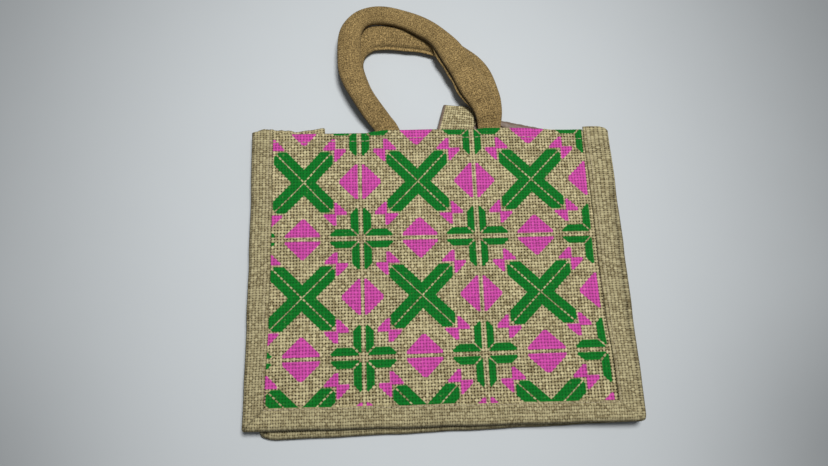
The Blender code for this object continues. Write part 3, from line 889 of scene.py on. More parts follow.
def laminated_material(name, pitch):
    """The cloth's inner side, with a thin clear film that the yarns show through."""
    made, tree, shader = new_material(name)
    across, along = cloth_position(tree)
    height, _, tone, _, _ = plain_weave(tree, across, along, pitch, 0.86, 23.0)
    colour = mixed(tree, tone.eased(0.1, 0.9), LAMINATED_DARK, LAMINATED_LIGHT)
    # painted shade where the yarns dip low under the film
    colour = scaled(tree, colour, height.eased(-0.8, 0.6) * 0.12 + 0.90)
    finish_cloth(tree, shader, colour, height * 0.25, 0.2 * MM, 0.42, sheen=0.0)
    shader.inputs["Specular IOR Level"].default_value = 0.4
    return made


def thread_material():
    """Cotton sewing thread with its twist."""
    made, tree, shader = new_material("sewing_thread")
    place = tree.nodes.new("ShaderNodeTexCoord").outputs["Object"]
    twist = noise(tree, place, 2600.0, 1.0)
    colour = mixed(tree, twist, THREAD_DARK, THREAD_LIGHT)
    tree.links.new(colour, shader.inputs["Base Color"])
    shader.inputs["Roughness"].default_value = 0.8
    return made


# ---------------------------------------------------------------- pieces


def declare(piece, node):
    """The piece stands for the CAD node and stays with the bag."""
    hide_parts(node)
    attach(piece, "root")


def panel_sheet(name, place, spans, hem_span, looks, cloth, facing, bare_from=None):
    """A panel with its hem. facing is 1 where the outer side is up and -1 where down.

    spans is the cloth's low and high across, then along. Right of bare_from the hem shows
    its laminated side.
    """
    pitch = (cloth.yarn_pitch, cloth.yarn_pitch)
    columns = half_yarns(spans[0], spans[1], pitch[0])
    rows = half_yarns(spans[2], spans[3], pitch[1])
    across, along = np.meshgrid(columns, rows)
    points, turn = place(across, along)
    hemmed = (across >= hem_span[0]) & (across <= hem_span[1])
    keep = hemmed | (turn <= HEM_STARTS_AT)
    faces = grid_faces(*across.shape, keep)
    flat = np.stack([across, along], -1).reshape(-1, 2)
    depth = cloth.relief * relief(across, along, pitch, 5).reshape(-1)
    marks = one_mark_a_side(faces)
    if bare_from is not None:
        folded = turn.reshape(-1)[faces].min(1) > HEM_BARE_PAST
        marks[folded & (flat[faces][:, :, 0].min(1) > bare_from), 0] = 1
    points = points.reshape(-1, 3)
    uv = flat[faces]
    if facing < 0:
        faces, uv = faces[:, ::-1], uv[:, ::-1]
    # painted shade along the hem's fold
    crease_shade = CREASE_SHADE * np.exp(-(((turn - CREASE_TURN) / CREASE_SPREAD) ** 2))
    shade = np.where(turn > 0, crease_shade, 0).reshape(-1)
    return thick_cloth(name, points, uv, faces, marks, depth, looks, cloth.thickness, shade)


def side_line(outline, side, inset):
    """Start and end of a side of the outline, moved in by inset for each side's name."""
    left, bottom, right = (inset[name] for name in SIDES)
    inward = {
        "top_left": (left, 0),
        "bottom_left": (left, bottom),
        "bottom_right": (-right, bottom),
        "top_right": (-right, 0),
    }
    ends = {
        "left": ("top_left", "bottom_left"),
        "bottom": ("bottom_left", "bottom_right"),
        "right": ("bottom_right", "top_right"),
    }[side]
    return [tuple(outline[end][k] + inward[end][k] for k in (0, 1)) for end in ends]


def rounded_inset(side, share, length, rounding):
    """How far a side is drawn in near the two bottom corners, which are rounded."""
    near_ends = {
        "left": [((1 - share) * length, rounding[0])],
        "bottom": [(share * length, rounding[0]), ((1 - share) * length, rounding[1])],
        "right": [(share * length, rounding[1])],
    }[side]
    drawn = 0
    for near, radius in near_ends:
        drawn = drawn + radius * CORNER_CUT * np.clip(1 - near / radius, 0, 1) ** 2
    return drawn


def corner_meeting(weight, radius):
    """How far from a rounded corner the columns of its two sides meet.

    A side is drawn in by radius * cut * (1 - distance / radius)**2, and this is where that
    inset is as long as the distance.
    """
    cut = CORNER_CUT * max(weight, 0.001)
    return radius * (1 + 2 * cut - math.sqrt((1 + 2 * cut) ** 2 - 4 * cut**2)) / (2 * cut)


def binding_sections(over, under):
    """Columns of the strip from its inner edge, over the roll, to its return.

    Each is ({side: inset}, height), with as many columns on every side.
    """
    middle, half = (over + under) / 2, (over - under) / 2
    nose_at = LAYER_THICKNESS / 2
    columns = []
    for i in range(BINDING_OVER_COLUMNS):
        share = i / BINDING_OVER_COLUMNS
        inset = {name: blend(BINDING_WIDTH[name], BINDING_ROLL[name], share) for name in SIDES}
        columns.append((inset, over))
    for i in range(BINDING_ROLL_COLUMNS + 1):
        turn = math.pi * i / BINDING_ROLL_COLUMNS
        inset = {}
        for name in SIDES:
            roll = BINDING_ROLL[name] if turn < math.pi / 2 else BINDING_ROLL["left"]
            inset[name] = roll - (roll - nose_at) * math.sin(turn)
        columns.append((inset, middle + half * math.cos(turn)))
    for i in range(1, BINDING_RETURN_COLUMNS + 1):
        share = i / BINDING_RETURN_COLUMNS
        inset = {name: blend(BINDING_ROLL["left"], BINDING_RETURN, share) for name in SIDES}
        columns.append((inset, under))
    return columns


def side_shift(side, column, share, y):
    """How far a column of a side's strip lies to the right of its straight line.

    The two upright sides bow, and their strips are wider higher up. The right side's rolled
    edge narrows upward.
    """
    if side == "bottom":
        return 0
    from_inner = min(column / BINDING_OVER_COLUMNS, 1)
    if side == "left":
        wider = LEFT_WIDER * smooth_step(y, *LEFT_WIDER_SPAN) * (1 - from_inner)
        return LEFT_SIDE_BOW * np.sin(np.pi * share) + wider
    round_nose = np.clip((column - BINDING_OVER_COLUMNS) / (BINDING_ROLL_COLUMNS / 2), 0, 1)
    bow = RIGHT_SIDE_BOW * np.sin(np.pi * share) * round_nose
    wider = RIGHT_WIDER * smooth_step(y, *RIGHT_WIDER_SPAN) * (1 - from_inner)
    taper = ROLL_TAPER * smooth_step(y, *ROLL_TAPER_SPAN) * from_inner**3 * (1 - round_nose)
    return bow + taper - wider


def side_wave(place, share):
    """How far the strip wavers inward along a side."""
    turns = place / BINDING_WAVE_LENGTH
    wave = BINDING_WAVE * np.sin(2 * np.pi * turns + 1.3)
    wave = wave * (0.6 + 0.4 * np.sin(2.3 * np.pi * turns))
    return wave * np.sin(np.pi * share) ** 0.5


def side_creases(side, column, y, from_mitre):
    """(how deep the strip is creased, how much painted shade darkens it) at a column, along a side:
    painted shade in the mitres, the roll's groove and on the rolled edge.
    """
    deep = dark = 0
    if column < len(SEWN_DOWN):
        looser = LOOSER * (side == "right") * (y < LOOSER_BELOW)
        deep = BINDING_EDGE_DROP * SEWN_DOWN[column] * (1 - looser)
    if side == "right" and column in (BINDING_OVER_COLUMNS, BINDING_OVER_COLUMNS + 1):
        groove = smooth_step(y, *ROLL_GROOVE_FROM) * (1 - smooth_step(y, *ROLL_GROOVE_TO))
        deep, dark = deep + ROLL_GROOVE * groove, ROLL_GROOVE_SHADE * groove
    if side != "right" and column < BINDING_OVER_COLUMNS + 3:
        mitre = np.exp(-((from_mitre / MITRE_WIDTH) ** 2))
        deep, dark = deep + MITRE_DEPTH * mitre, MITRE_SHADE * mitre
    # painted shade on the rolled outer edge, darkest on the sides turned from the lamp
    rolled = smooth_step(column, BINDING_OVER_COLUMNS - 1, BINDING_OVER_COLUMNS + 5)
    return deep, dark + ROLL_SHADE[side] * rolled


def binding_side(side, outline, rounding, columns, runs, rise):
    """(points, shade) of the strip along one side, with a row at each of the runs."""
    axis = 0 if side == "bottom" else 1
    inward = -1 if side == "right" else 1
    grid = np.zeros((len(runs), len(columns), 3))
    shade = np.zeros((len(runs), len(columns)))
    for j, (inset, height) in enumerate(columns):
        start, end = side_line(outline, side, inset)
        if side in BINDING_TOP_RISE:
            slope = 1 - smooth_step(inset[side], *BINDING_TOP_SLOPE)
            top = BINDING_TOP_RISE[side] - BINDING_TOP_DROP[side] * slope
            if side == "left":
                start = (start[0], start[1] + top)
            else:
                end = (end[0], end[1] + top)
        length = end[axis] - start[axis]
        weight = 1 - smooth_step(inset["bottom"], 0, CORNER_DEPTH)
        left_meets, right_meets = (corner_meeting(weight, r) / abs(length) for r in rounding)
        first = {"left": 0, "bottom": left_meets, "right": right_meets}[side]
        last = {"left": 1 - left_meets, "bottom": 1 - right_meets, "right": 1}[side]
        share = np.clip((runs - start[axis]) / length, first, last)
        place = start[axis] + share * length
        other = blend(start[1 - axis], end[1 - axis], share) + side_shift(side, j, share, place)
        drawn = rounded_inset(side, share, abs(length), rounding) * weight
        other = other + inward * (side_wave(place, share) + drawn)
        x, y = (place, other) if axis == 0 else (other, place)
        from_mitre = (share - (last if side == "left" else first)) * length
        deep, shade[:, j] = side_creases(side, j, y, from_mitre)
        grid[:, j] = np.stack([x, y, height + rise(x, y) - deep], -1)
    return grid, shade


def binding_sheet(name, outline, rounding, over, under, rise, looks, cloth):
    """A strip folded round the raw edges of a panel and the gusset."""
    pitch = (cloth.yarn_pitch, cloth.yarn_pitch * BINDING_WEFT)
    columns = binding_sections(over, under)
    cells = np.arange(len(columns)) * pitch[0] / 2
    all_points, all_uv, all_faces, all_depth, all_shade = [], [], [], [], []
    count = 0
    for side in SIDES:
        axis = 0 if side == "bottom" else 1
        ends = [end[axis] for end in side_line(outline, side, dict.fromkeys(SIDES, 0.0))]
        runs = half_yarns(min(ends) - BINDING_SPARE, max(ends) + BINDING_SPARE, pitch[1])
        if side == "left":
            runs = runs[::-1]
        grid, shade = binding_side(side, outline, rounding, columns, runs, rise)
        flat = np.stack(np.meshgrid(cells, runs), -1)
        depth = cloth.relief * relief(flat[..., 0], flat[..., 1], pitch, 8)
        depth[:, :2] = 0
        faces = grid_faces(len(runs), len(columns))
        flat = flat.reshape(-1, 2) + (0.5 if side == "bottom" else 0)
        all_points.append(grid.reshape(-1, 3))
        all_depth.append(depth.reshape(-1))
        all_shade.append(shade.reshape(-1))
        all_uv.append(flat[faces])
        all_faces.append(faces + count)
        count += len(flat)
    points, uv, faces = map(np.concatenate, (all_points, all_uv, all_faces))
    depth, shade = np.concatenate(all_depth), np.concatenate(all_shade)
    marks = one_mark_a_side(faces)
    return thick_cloth(name, points, uv, faces, marks, depth, looks, cloth.thickness, shade)


def smooth_route(table, step):
    """(rows, distances) at about the given spacing on a smooth curve through a table's rows."""
    rows = np.array(table) * MM
    padded = np.concatenate([rows[:1], rows, rows[-1:]])
    dense = []
    for p0, p1, p2, p3 in zip(padded, padded[1:], padded[2:], padded[3:]):
        for t in np.arange(0, 1, 0.02):
            slope = (p2 - p0) * t + (2 * p0 - 5 * p1 + 4 * p2 - p3) * t**2
            dense.append(p1 + 0.5 * (slope + (3 * p1 - p0 - 3 * p2 + p3) * t**3))
    dense = np.array([*dense, rows[-1]])
    steps = np.linalg.norm(np.diff(dense[:, :3], axis=0), axis=1)
    travelled = np.concatenate([[0], np.cumsum(steps)])
    places = np.linspace(0, travelled[-1], round(travelled[-1] / step) + 1)
    return np.stack([np.interp(places, travelled, dense[:, k]) for k in range(5)], -1), places


def tube_faces(count):
    """Faces of a closed tube of rings, and the flat place of each of their corners."""
    around, ahead = HANDLE_PITCH[0] / 2, HANDLE_PITCH[1] / 2
    faces, uv = [], []
    for i in range(count - 1):
        for j in range(HANDLE_SIDES):
            k = (j + 1) % HANDLE_SIDES
            here, there = i * HANDLE_SIDES, (i + 1) * HANDLE_SIDES
            faces.append([here + j, there + j, there + k, here + k])
            uv += [
                (j * around, i * ahead),
                (j * around, (i + 1) * ahead),
                ((j + 1) * around, (i + 1) * ahead),
                ((j + 1) * around, i * ahead),
            ]
    for ring, order in ((0, 1), (count - 1, -1)):
        corners = [ring * HANDLE_SIDES + j for j in range(HANDLE_SIDES)]
        faces.append(corners[::order])
        uv += [(j * around, ring * ahead) for j in range(HANDLE_SIDES)][::order]
    return faces, uv


def handle_tube(name, table, finish, cloth, lip, seed):
    """A padded tube of cloth. Its seam stands out on the inner side.

    lip is the seam's turn round the tube, how far it stands out, and where along.
    """
    lip_turn, lip_out, lip_span = lip
    route, places = smooth_route(table, HANDLE_STEP)
    run = np.gradient(route[:, :2], axis=0)
    run /= np.linalg.norm(run, axis=1, keepdims=True)
    side = np.stack([run[:, 1], -run[:, 0]], -1)
    turn = 2 * np.pi * np.arange(HANDLE_SIDES) / HANDLE_SIDES
    lump = 1 + HANDLE_LUMP * np.sin(2 * np.pi * places / HANDLE_LUMP_LENGTH)
    dent = 1 + HANDLE_DENT * np.sin(places * 260 + seed) * np.sin(places * 91 + 2 * seed)
    round_share = smooth_step(route[:, 4], HANDLE_ROUND_FROM, HANDLE_ROUND_TO)
    across = np.cos(turn)[None, :] * (route[:, 3] * lump * HANDLE_FULLNESS / 2)[:, None]
    flatness = np.sign(np.sin(turn)) * abs(np.sin(turn)) ** HANDLE_SQUARENESS
    up = flatness[None, :] * (route[:, 4] * dent / 2)[:, None]
    round_from_lip = (turn - lip_turn + np.pi) % (2 * np.pi) - np.pi
    seam = np.exp(-((round_from_lip / LIP_SPREAD) ** 2))
    along = places / places[-1]
    starts, ends = smooth_step(along, *lip_span[:2]), smooth_step(along, *lip_span[2:])
    shown = round_share * starts * (1 - ends)
    ragged = shown * (1 + LIP_RAGGED * np.sin(places * 410 + seed))
    across = across + lip_out * seam[None, :] * ragged[:, None]
    around = np.arange(HANDLE_SIDES) * HANDLE_PITCH[0] / 2
    ahead = np.arange(len(places)) * HANDLE_PITCH[1] / 2
    crown = relief(*np.meshgrid(around, ahead), HANDLE_PITCH, seed)
    size = np.maximum(np.hypot(across, up), 1 * MM)
    grow = 1 + HANDLE_RELIEF * cloth.relief * crown / size
    across, up = across * grow, up * grow
    middle = route[:, 2] + route[:, 4] / 2
    x = route[:, 0, None] + side[:, 0, None] * across
    y = route[:, 1, None] + side[:, 1, None] * across
    z = np.maximum(middle[:, None] + up, 0.05 * MM)
    points = np.stack([x, y, z], -1).reshape(-1, 3)
    # painted shade on the flanks turned from the lamp
    flank = 1 - smooth_step(np.sin(turn), *FLANK_SPAN)
    shaded = (side * HANDLE_SHADE_SIDE).sum(1)[:, None] * np.cos(turn)[None, :]
    shade = flank[None, :] * (FLANK_SHADE + FLANK_SHADE_MORE * np.clip(shaded, 0, 1))
    # painted shadow in the gap beside the lip and painted highlight on the lip
    beside = np.exp(-(((round_from_lip - BESIDE_LIP) / BESIDE_LIP_SPREAD) ** 2))
    lip_shadow_and_highlight = BESIDE_LIP_SHADE * beside + LIP_SHADE * seam
    shade = (shade + lip_shadow_and_highlight[None, :] * shown[:, None]).reshape(-1)
    faces, uv = tube_faces(len(route))
    return object_of(name, points, faces, uv, [finish], [0] * len(faces), shade)


def handle_material(name, seed):
    """Closer jute cloth, golden, with its warp along the handle."""
    made, tree, shader = new_material(name)
    across, along = cloth_position(tree)
    height, gap, tone, _, _ = plain_weave(tree, across, along, HANDLE_PITCH, 0.86, seed)
    tone_seen, height_seen, gap_seen = tone * 0.45 + 0.28, height * 0.3 + 0.5, gap * 0.25
    straws = HANDLE_DARK, HANDLE_LIGHT, HANDLE_GAP_SHADE
    colour = yarn_colour(tree, tone_seen, height_seen, gap_seen, *straws, across, along)
    grain = noise(tree, joined(tree, across, along * 0.7, seed + 3.0), 1300.0, 3.0, 0.7)
    colour = scaled(tree, colour, grain.eased(0.30, 0.70) * 1.45 + 0.24)
    fleck = noise(tree, joined(tree, across, along, seed), 95.0, 1.0).eased(0.68, 0.76)
    colour = mixed(tree, fleck * 0.5, colour, HANDLE_FLECK)
    finish_cloth(tree, shader, colour, height + tone * 0.2, 0.3 * MM, 0.88, sheen=0.04)
    return made


def tab_sheet(looks, cloth):
    """A strip folded double along its left edge, sewn inside the back's hem."""
    pitch = cloth.yarn_pitch * TAB_WEAVE
    columns = half_yarns(-TAB_HALF_STRIP, TAB_HALF_STRIP, pitch)
    rows = half_yarns(0, TAB_LENGTH, pitch)
    across, along = np.meshgrid(columns, rows)
    share = along / rows[-1]
    bend = np.pi * FOLD_RADIUS / 2
    turn = np.clip((across + bend) / FOLD_RADIUS, 0, np.pi)
    flat = np.maximum(abs(across) - bend, 0) / (TAB_HALF_STRIP - bend)
    left = [blend(TAB_FOOT[0][k], TAB_TIP[0][k], share) for k in (0, 1)]
    right = [blend(TAB_FOOT[1][k], TAB_TIP[1][k], share) for k in (0, 1)]
    x = blend(left[0], right[0], flat) - FOLD_RADIUS * np.sin(turn)
    y = blend(left[1], right[1], flat)
    y = y - TAB_SLANT * smooth_step(flat, 0.72, 1.0) * smooth_step(share, 0.6, 1.0)
    droop = smooth_step(y, TAB_DROOP_FROM, TAB_DROOP_TO)
    lower = blend(GUSSET_LOWER, TAB_TIP_HEIGHT, droop)
    ripple = TAB_RIPPLE * np.sin(x * TAB_RIPPLE_TURNS) * share
    z = lower + FOLD_RADIUS * (1 - np.cos(turn)) + ripple
    points = np.stack([x, y, z], -1).reshape(-1, 3)
    faces = grid_faces(*across.shape)
    places = np.stack([across, along], -1).reshape(-1, 2)
    marks = one_mark_a_side(faces)
    low, high = TAB_EDGE_STRIP
    middles = places[faces].mean(1)[:, 0]
    marks[(middles > low) & (middles < high), 0] = 1
    depth = cloth.relief * relief(across, along, (pitch, pitch), 3).reshape(-1)
    depth[(places[:, 0] > low) & (places[:, 0] < high)] = 0
    faces, uv = faces[:, ::-1], places[faces][:, ::-1]
    upper = points[faces][:, :, 2].mean(1) > GUSSET_LOWER + LAYER * 0.9
    if upward(points, faces)[upper].mean() < 0:
        faces, uv = faces[:, ::-1], uv[:, ::-1]
    return thick_cloth("closing_tab_cloth", points, uv, faces, marks, depth, looks, cloth.thickness)


def gusset_stations():
    """(side, share) at even steps down the left, along the bottom and up the right."""
    stations = []
    for side in SIDES:
        start, end = side_line(FRONT_OUTLINE, side, dict.fromkeys(SIDES, 0.0))
        cells = round(math.dist(start, end) / GUSSET_STATION)
        stations += [(side, i / cells) for i in range(cells)]
    return [*stations, ("right", 1.0)]


def gusset_spot(outline, side, share, inset):
    """A place beside a side of the outline, which bows on the right."""
    start, end = side_line(outline, side, dict.fromkeys(SIDES, inset))
    x, y = (blend(start[k], end[k], share) for k in (0, 1))
    return x + (RIGHT_SIDE_BOW * math.sin(math.pi * share) if side == "right" else 0), y


def gusset_top_rise(side, share, part):
    """Rise of the gusset's top edge at a part of its depth, gone half way down the side."""
    if side == "bottom":
        return 0
    rise = GUSSET_RIGHT_RISE * part**1.5
    if side == "left":
        rise = float(table_value(GUSSET_LEFT_EDGE, part * GUSSET_DEPTH))
    from_top = share if side == "left" else 1 - share
    return rise * (1 - smooth_step(from_top, 0, 0.5))


def gusset_row(side, share):
    """Points across the gusset: its upper half inward, the fold, its lower half outward."""
    radius = (GUSSET_INNER - GUSSET_LOWER) / 2
    fold_start = GUSSET_DEPTH - radius
    step = np.linspace(*GUSSET_STEP, GUSSET_STEP_POINTS)
    upper = np.linspace(GUSSET_THIRD, fold_start, GUSSET_FLAT_POINTS)
    row = []
    for inset in (GUSSET_EDGE, GUSSET_SECOND, *step, *upper):
        x, y = gusset_spot(FRONT_OUTLINE, side, share, inset)
        part = inset / GUSSET_DEPTH
        z = blend(GUSSET_UPPER, GUSSET_INNER, smooth_step(inset, *GUSSET_STEP))
        lift = front_rise(x, y) * (1 - smooth_step(part, 0.5, 1))
        row.append((x, y + gusset_top_rise(side, share, part), z + lift))
    fold = gusset_spot(FRONT_OUTLINE, side, share, fold_start)
    inner = gusset_spot(FRONT_OUTLINE, side, share, GUSSET_DEPTH)
    for i in range(1, GUSSET_FOLD_POINTS + 1):
        turn = math.pi * i / GUSSET_FOLD_POINTS
        x, y = (blend(fold[k], inner[k], math.sin(turn)) for k in (0, 1))
        z = (GUSSET_INNER + GUSSET_LOWER) / 2 + radius * math.cos(turn)
        row.append((x, y + gusset_top_rise(side, share, 1), z))
    seam = gusset_spot(BACK_OUTLINE, side, share, GUSSET_EDGE)
    for part in np.linspace(0, 1, GUSSET_LOWER_POINTS + 1)[1:]:
        x, y = (blend(fold[k], seam[k], part) for k in (0, 1))
        row.append((x, y + gusset_top_rise(side, share, 1 - part), GUSSET_LOWER))
    return np.array(row, float)


def gusset_sheet(looks, cloth):
    """One strip down the left, along the bottom and up the right, folded inward."""
    rows, flats = [], []
    travelled, last = 0.0, None
    for side, share in gusset_stations():
        edge = gusset_spot(FRONT_OUTLINE, side, share, 0.0)
        travelled += math.dist(edge, last) if last else 0
        last = edge
        row = gusset_row(side, share)
        steps = np.linalg.norm(np.diff(row, axis=0), axis=1)
        across = np.concatenate([[0], np.cumsum(steps)])
        rows.append(row)
        flats.append(np.stack([across, np.full(len(row), travelled)], -1))
    grid, flat = np.array(rows), np.array(flats)
    faces = grid_faces(*grid.shape[:2])[:, ::-1]
    places, points = flat.reshape(-1, 2), grid.reshape(-1, 3)
    marks = one_mark_a_side(faces)
    middles = places[faces].mean(1)[:, 1]
    marks[(middles < GUSSET_HEM) | (middles > travelled - GUSSET_HEM), 1] = 0
    uv = places[faces]
    inner = points[faces][:, :, 2].mean(1) > GUSSET_INNER - 0.4 * MM
    if upward(points, faces)[inner].mean() > 0:
        faces, uv = faces[:, ::-1], uv[:, ::-1]
    depth = np.zeros(len(points))
    return thick_cloth("gusset_cloth", points, uv, faces, marks, depth, looks, cloth.thickness)


# ---------------------------------------------------------------- stitches


def stitch_nodes():
    """Geometry nodes that lay short stitches end to end along a curve."""
    tree = bpy.data.node_groups.new("Stitches along a seam", "GeometryNodeTree")
    face = tree.interface
    face.new_socket("Geometry", in_out="INPUT", socket_type="NodeSocketGeometry")
    for name, value in STITCH_SIZES.items():
        made = face.new_socket(name, in_out="INPUT", socket_type="NodeSocketFloat")
        made.default_value, made.subtype = value, "DISTANCE"
    face.new_socket("Thread", in_out="INPUT", socket_type="NodeSocketMaterial")
    face.new_socket("Geometry", in_out="OUTPUT", socket_type="NodeSocketGeometry")
    nodes, links = tree.nodes, tree.links
    enter, leave = nodes.new("NodeGroupInput"), nodes.new("NodeGroupOutput")
    spaced = nodes.new("GeometryNodeResampleCurve")
    spaced.mode = "LENGTH"
    links.new(enter.outputs["Geometry"], spaced.inputs["Curve"])
    links.new(enter.outputs["Stitch pitch"], spaced.inputs["Length"])
    bead = nodes.new("GeometryNodeMeshUVSphere")
    bead.inputs["Segments"].default_value = BEAD_SEGMENTS
    bead.inputs["Rings"].default_value = BEAD_RINGS
    bead.inputs["Radius"].default_value = 1.0
    half = nodes.new("ShaderNodeMath")
    half.operation = "MULTIPLY"
    half.inputs[1].default_value = 0.5
    links.new(enter.outputs["Stitch length"], half.inputs[0])
    size = nodes.new("ShaderNodeCombineXYZ")
    links.new(enter.outputs["Thread radius"], size.inputs[0])
    links.new(enter.outputs["Thread radius"], size.inputs[1])
    links.new(half.outputs[0], size.inputs[2])
    tangent = nodes.new("GeometryNodeInputTangent")
    turn = nodes.new("FunctionNodeAlignRotationToVector")
    turn.axis = "Z"
    links.new(tangent.outputs[0], turn.inputs["Vector"])
    placed = nodes.new("GeometryNodeInstanceOnPoints")
    links.new(spaced.outputs["Curve"], placed.inputs["Points"])
    links.new(bead.outputs["Mesh"], placed.inputs["Instance"])
    links.new(turn.outputs[0], placed.inputs["Rotation"])
    links.new(size.outputs[0], placed.inputs["Scale"])
    whole = nodes.new("GeometryNodeRealizeInstances")
    links.new(placed.outputs[0], whole.inputs[0])
    smooth = nodes.new("GeometryNodeSetShadeSmooth")
    links.new(whole.outputs[0], smooth.inputs[0])
    dressed = nodes.new("GeometryNodeSetMaterial")
    links.new(smooth.outputs[0], dressed.inputs["Geometry"])
    links.new(enter.outputs["Thread"], dressed.inputs["Material"])
    links.new(dressed.outputs[0], leave.inputs[0])
    return tree


def stitched(name, route, tree, thread):
    """Stitches along a route, as one plain mesh."""
    curve = bpy.data.curves.new(name + "_seam", "CURVE")
    curve.dimensions = "3D"
    line = curve.splines.new("POLY")
    line.points.add(len(route) - 1)
    weighted = np.concatenate([route, np.ones((len(route), 1))], 1)
    line.points.foreach_set("co", weighted.reshape(-1))
    guide = bpy.data.objects.new(name + "_seam", curve)
    bpy.context.scene.collection.objects.link(guide)
    sewing = guide.modifiers.new("Stitches", "NODES")
    sewing.node_group = tree
    values = dict(STITCH_SIZES, Thread=thread)
    for socket in tree.interface.items_tree:
        if socket.in_out == "INPUT" and socket.name in values:
            sewing[socket.identifier] = values[socket.name]
    graph = bpy.context.evaluated_depsgraph_get()
    mesh = bpy.data.meshes.new_from_object(guide.evaluated_get(graph))
    mesh.name = name
    bpy.data.objects.remove(guide)
    made = bpy.data.objects.new(name, mesh)
    bpy.context.scene.collection.objects.link(made)
    return made


def front_hem_line(cloth):
    """The route of the stitches that hold the front's hem."""
    xs = np.linspace(*FRONT_HEM_SPAN, HEM_ROUTE_POINTS)
    ys = FRONT_OUTLINE["top_left"][1] + table_value(FRONT_TOP_EDGE, xs) - HEM_STITCHES_DOWN
    ys = ys - HEM_STITCHES_SLANT * smooth_step(xs, *HEM_STITCHES_SLANT_SPAN)
    points, _ = front_place(xs, ys)
    return points + np.array([0, 0, cloth.thickness / 2 + HEM_STITCHES_LIFT])


def front_binding_line(cloth):
    """The route of the stitches on the front binding, a little outside its inner edge."""
    inset = {name: BINDING_WIDTH[name] - BINDING_STITCHES_IN for name in SIDES}
    above = cloth.thickness / 2 + BINDING_STITCHES_LIFT
    route = []
    for side in SIDES:
        start, end = side_line(FRONT_OUTLINE, side, inset)
        if side == "left":
            start = (start[0], start[1] - BINDING_STITCHES_DOWN)
        if side == "right":
            end = (end[0], end[1] - BINDING_STITCHES_DOWN)
        for share in np.linspace(0, 1, BINDING_ROUTE_POINTS):
            x, y = (blend(start[k], end[k], share) for k in (0, 1))
            x += RIGHT_SIDE_BOW * math.sin(math.pi * share) if side == "right" else 0
            route.append((x, y, FRONT_BINDING_OVER + float(front_rise(x, y)) + above))
    return np.array(route)


# ---------------------------------------------------------------- studio


def floor_material(colour):
    """Matt board with a faint mottle and a painted pool of light: darker away from the lamp and
    toward the lower corners.
    """
    made, tree, shader = new_material("floor")
    place = tree.nodes.new("ShaderNodeTexCoord").outputs["Object"]
    parts = tree.nodes.new("ShaderNodeSeparateXYZ")
    tree.links.new(place, parts.inputs[0])
    x = Term(tree, parts.outputs[0]) - FLOOR_LIT_MIDDLE[0]
    y = Term(tree, parts.outputs[1]) - FLOOR_LIT_MIDDLE[1]
    away = (x * x + y * y * 0.64).root()
    cloud = noise(tree, place, 26.0, 3.0) - 0.5
    corner = abs(x).eased(0.14, 0.30) * (y * -1.0).eased(0.02, 0.15)
    # painted falloff of the lamp's light
    light = 1.0 - away.eased(0.08, 0.46) * 0.62 - corner * 0.15 + cloud * 0.02
    tree.links.new(scaled(tree, tuple(colour[:3]), light), shader.inputs["Base Color"])
    shader.inputs["Roughness"].default_value = 0.75
    shader.inputs["Specular IOR Level"].default_value = 0.2
    return made


def add_lamp(power):
    """A round soft box above the bag, a little behind its mouth."""
    data = bpy.data.lights.new("key", "AREA")
    data.shape, data.size, data.energy, data.color = "DISK", LAMP_SIZE, power, LAMP_COLOUR
    lamp = bpy.data.objects.new("key", data)
    bpy.context.scene.collection.objects.link(lamp)
    lamp.location = LAMP_PLACE
    down = Vector(LAMP_AIM) - Vector(LAMP_PLACE)
    lamp.rotation_euler = down.to_track_quat("-Z", "Y").to_euler()


def add_sky(strength):
    """Even light from all round."""
    world = bpy.data.worlds.new("studio")
    world.use_nodes = True
    light = world.node_tree.nodes["Background"]
    light.inputs["Color"].default_value = SKY_COLOUR
    light.inputs["Strength"].default_value = strength
    bpy.context.scene.world = world


def add_camera():
    """The view that the bag is seen in."""
    data = bpy.data.cameras.new("photo_view")
    data.lens, data.sensor_width = CAMERA_LENS, CAMERA_SENSOR
    camera = bpy.data.objects.new("photo_view", data)
    bpy.context.scene.collection.objects.link(camera)
    ahead = Vector(CAMERA_AHEAD).normalized()
    right = (Vector(CAMERA_RIGHT) - ahead * ahead.dot(Vector(CAMERA_RIGHT))).normalized()
    turn = Matrix((right, right.cross(ahead), -ahead)).transposed().to_4x4()
    camera.matrix_world = Matrix.Translation(CAMERA_PLACE) @ turn
    bpy.context.scene.camera = camera


# ---------------------------------------------------------------- settings


class BagClothSettings(bpy.types.PropertyGroup):
    """Sizes of the burlap."""

    yarn_pitch: FloatProperty(
        name="Yarn pitch",
        description="Distance from one yarn to the next",
        default=80 * MM / 37.5,
        min=1 * MM,
        max=6 * MM,
        unit="LENGTH",
        precision=5,
    )
    thickness: FloatProperty(
        name="Thickness",
        description="Thickness of the cloth without the rounding of its yarns",
        default=0.9 * MM,
        min=0.3 * MM,
        max=1.1 * MM,
        unit="LENGTH",
        precision=5,
    )
    relief: FloatProperty(
        name="Relief",
        description="How far a crossing of yarns stands out of the cloth",
        default=0.17 * MM,
        min=0,
        max=0.25 * MM,
        unit="LENGTH",
        precision=5,
    )


class BagPrintSettings(bpy.types.PropertyGroup):
    """Sizes and inks of the print."""

    repeat: FloatProperty(
        name="Repeat",
        description="Distance from one saltire of the print to the next",
        default=80 * MM,
        min=20 * MM,
        max=200 * MM,
        unit="LENGTH",
        precision=4,
    )
    yarn_step: FloatProperty(
        name="Yarn step",
        description="How far the ink's edge follows whole yarns, from 0 to 1",
        default=0.2,
        min=0,
        max=1,
        subtype="FACTOR",
    )
    green: FloatVectorProperty(
        name="Green ink",
        description="Colour of the saltires and the crosses",
        default=(0.004, 0.165, 0.018, 1),
        size=4,
        min=0,
        max=1,
        subtype="COLOR",
    )
    magenta: FloatVectorProperty(
        name="Magenta ink",
        description="Colour of the lozenges and the triangles",
        default=(0.54, 0.068, 0.34, 1),
        size=4,
        min=0,
        max=1,
        subtype="COLOR",
    )


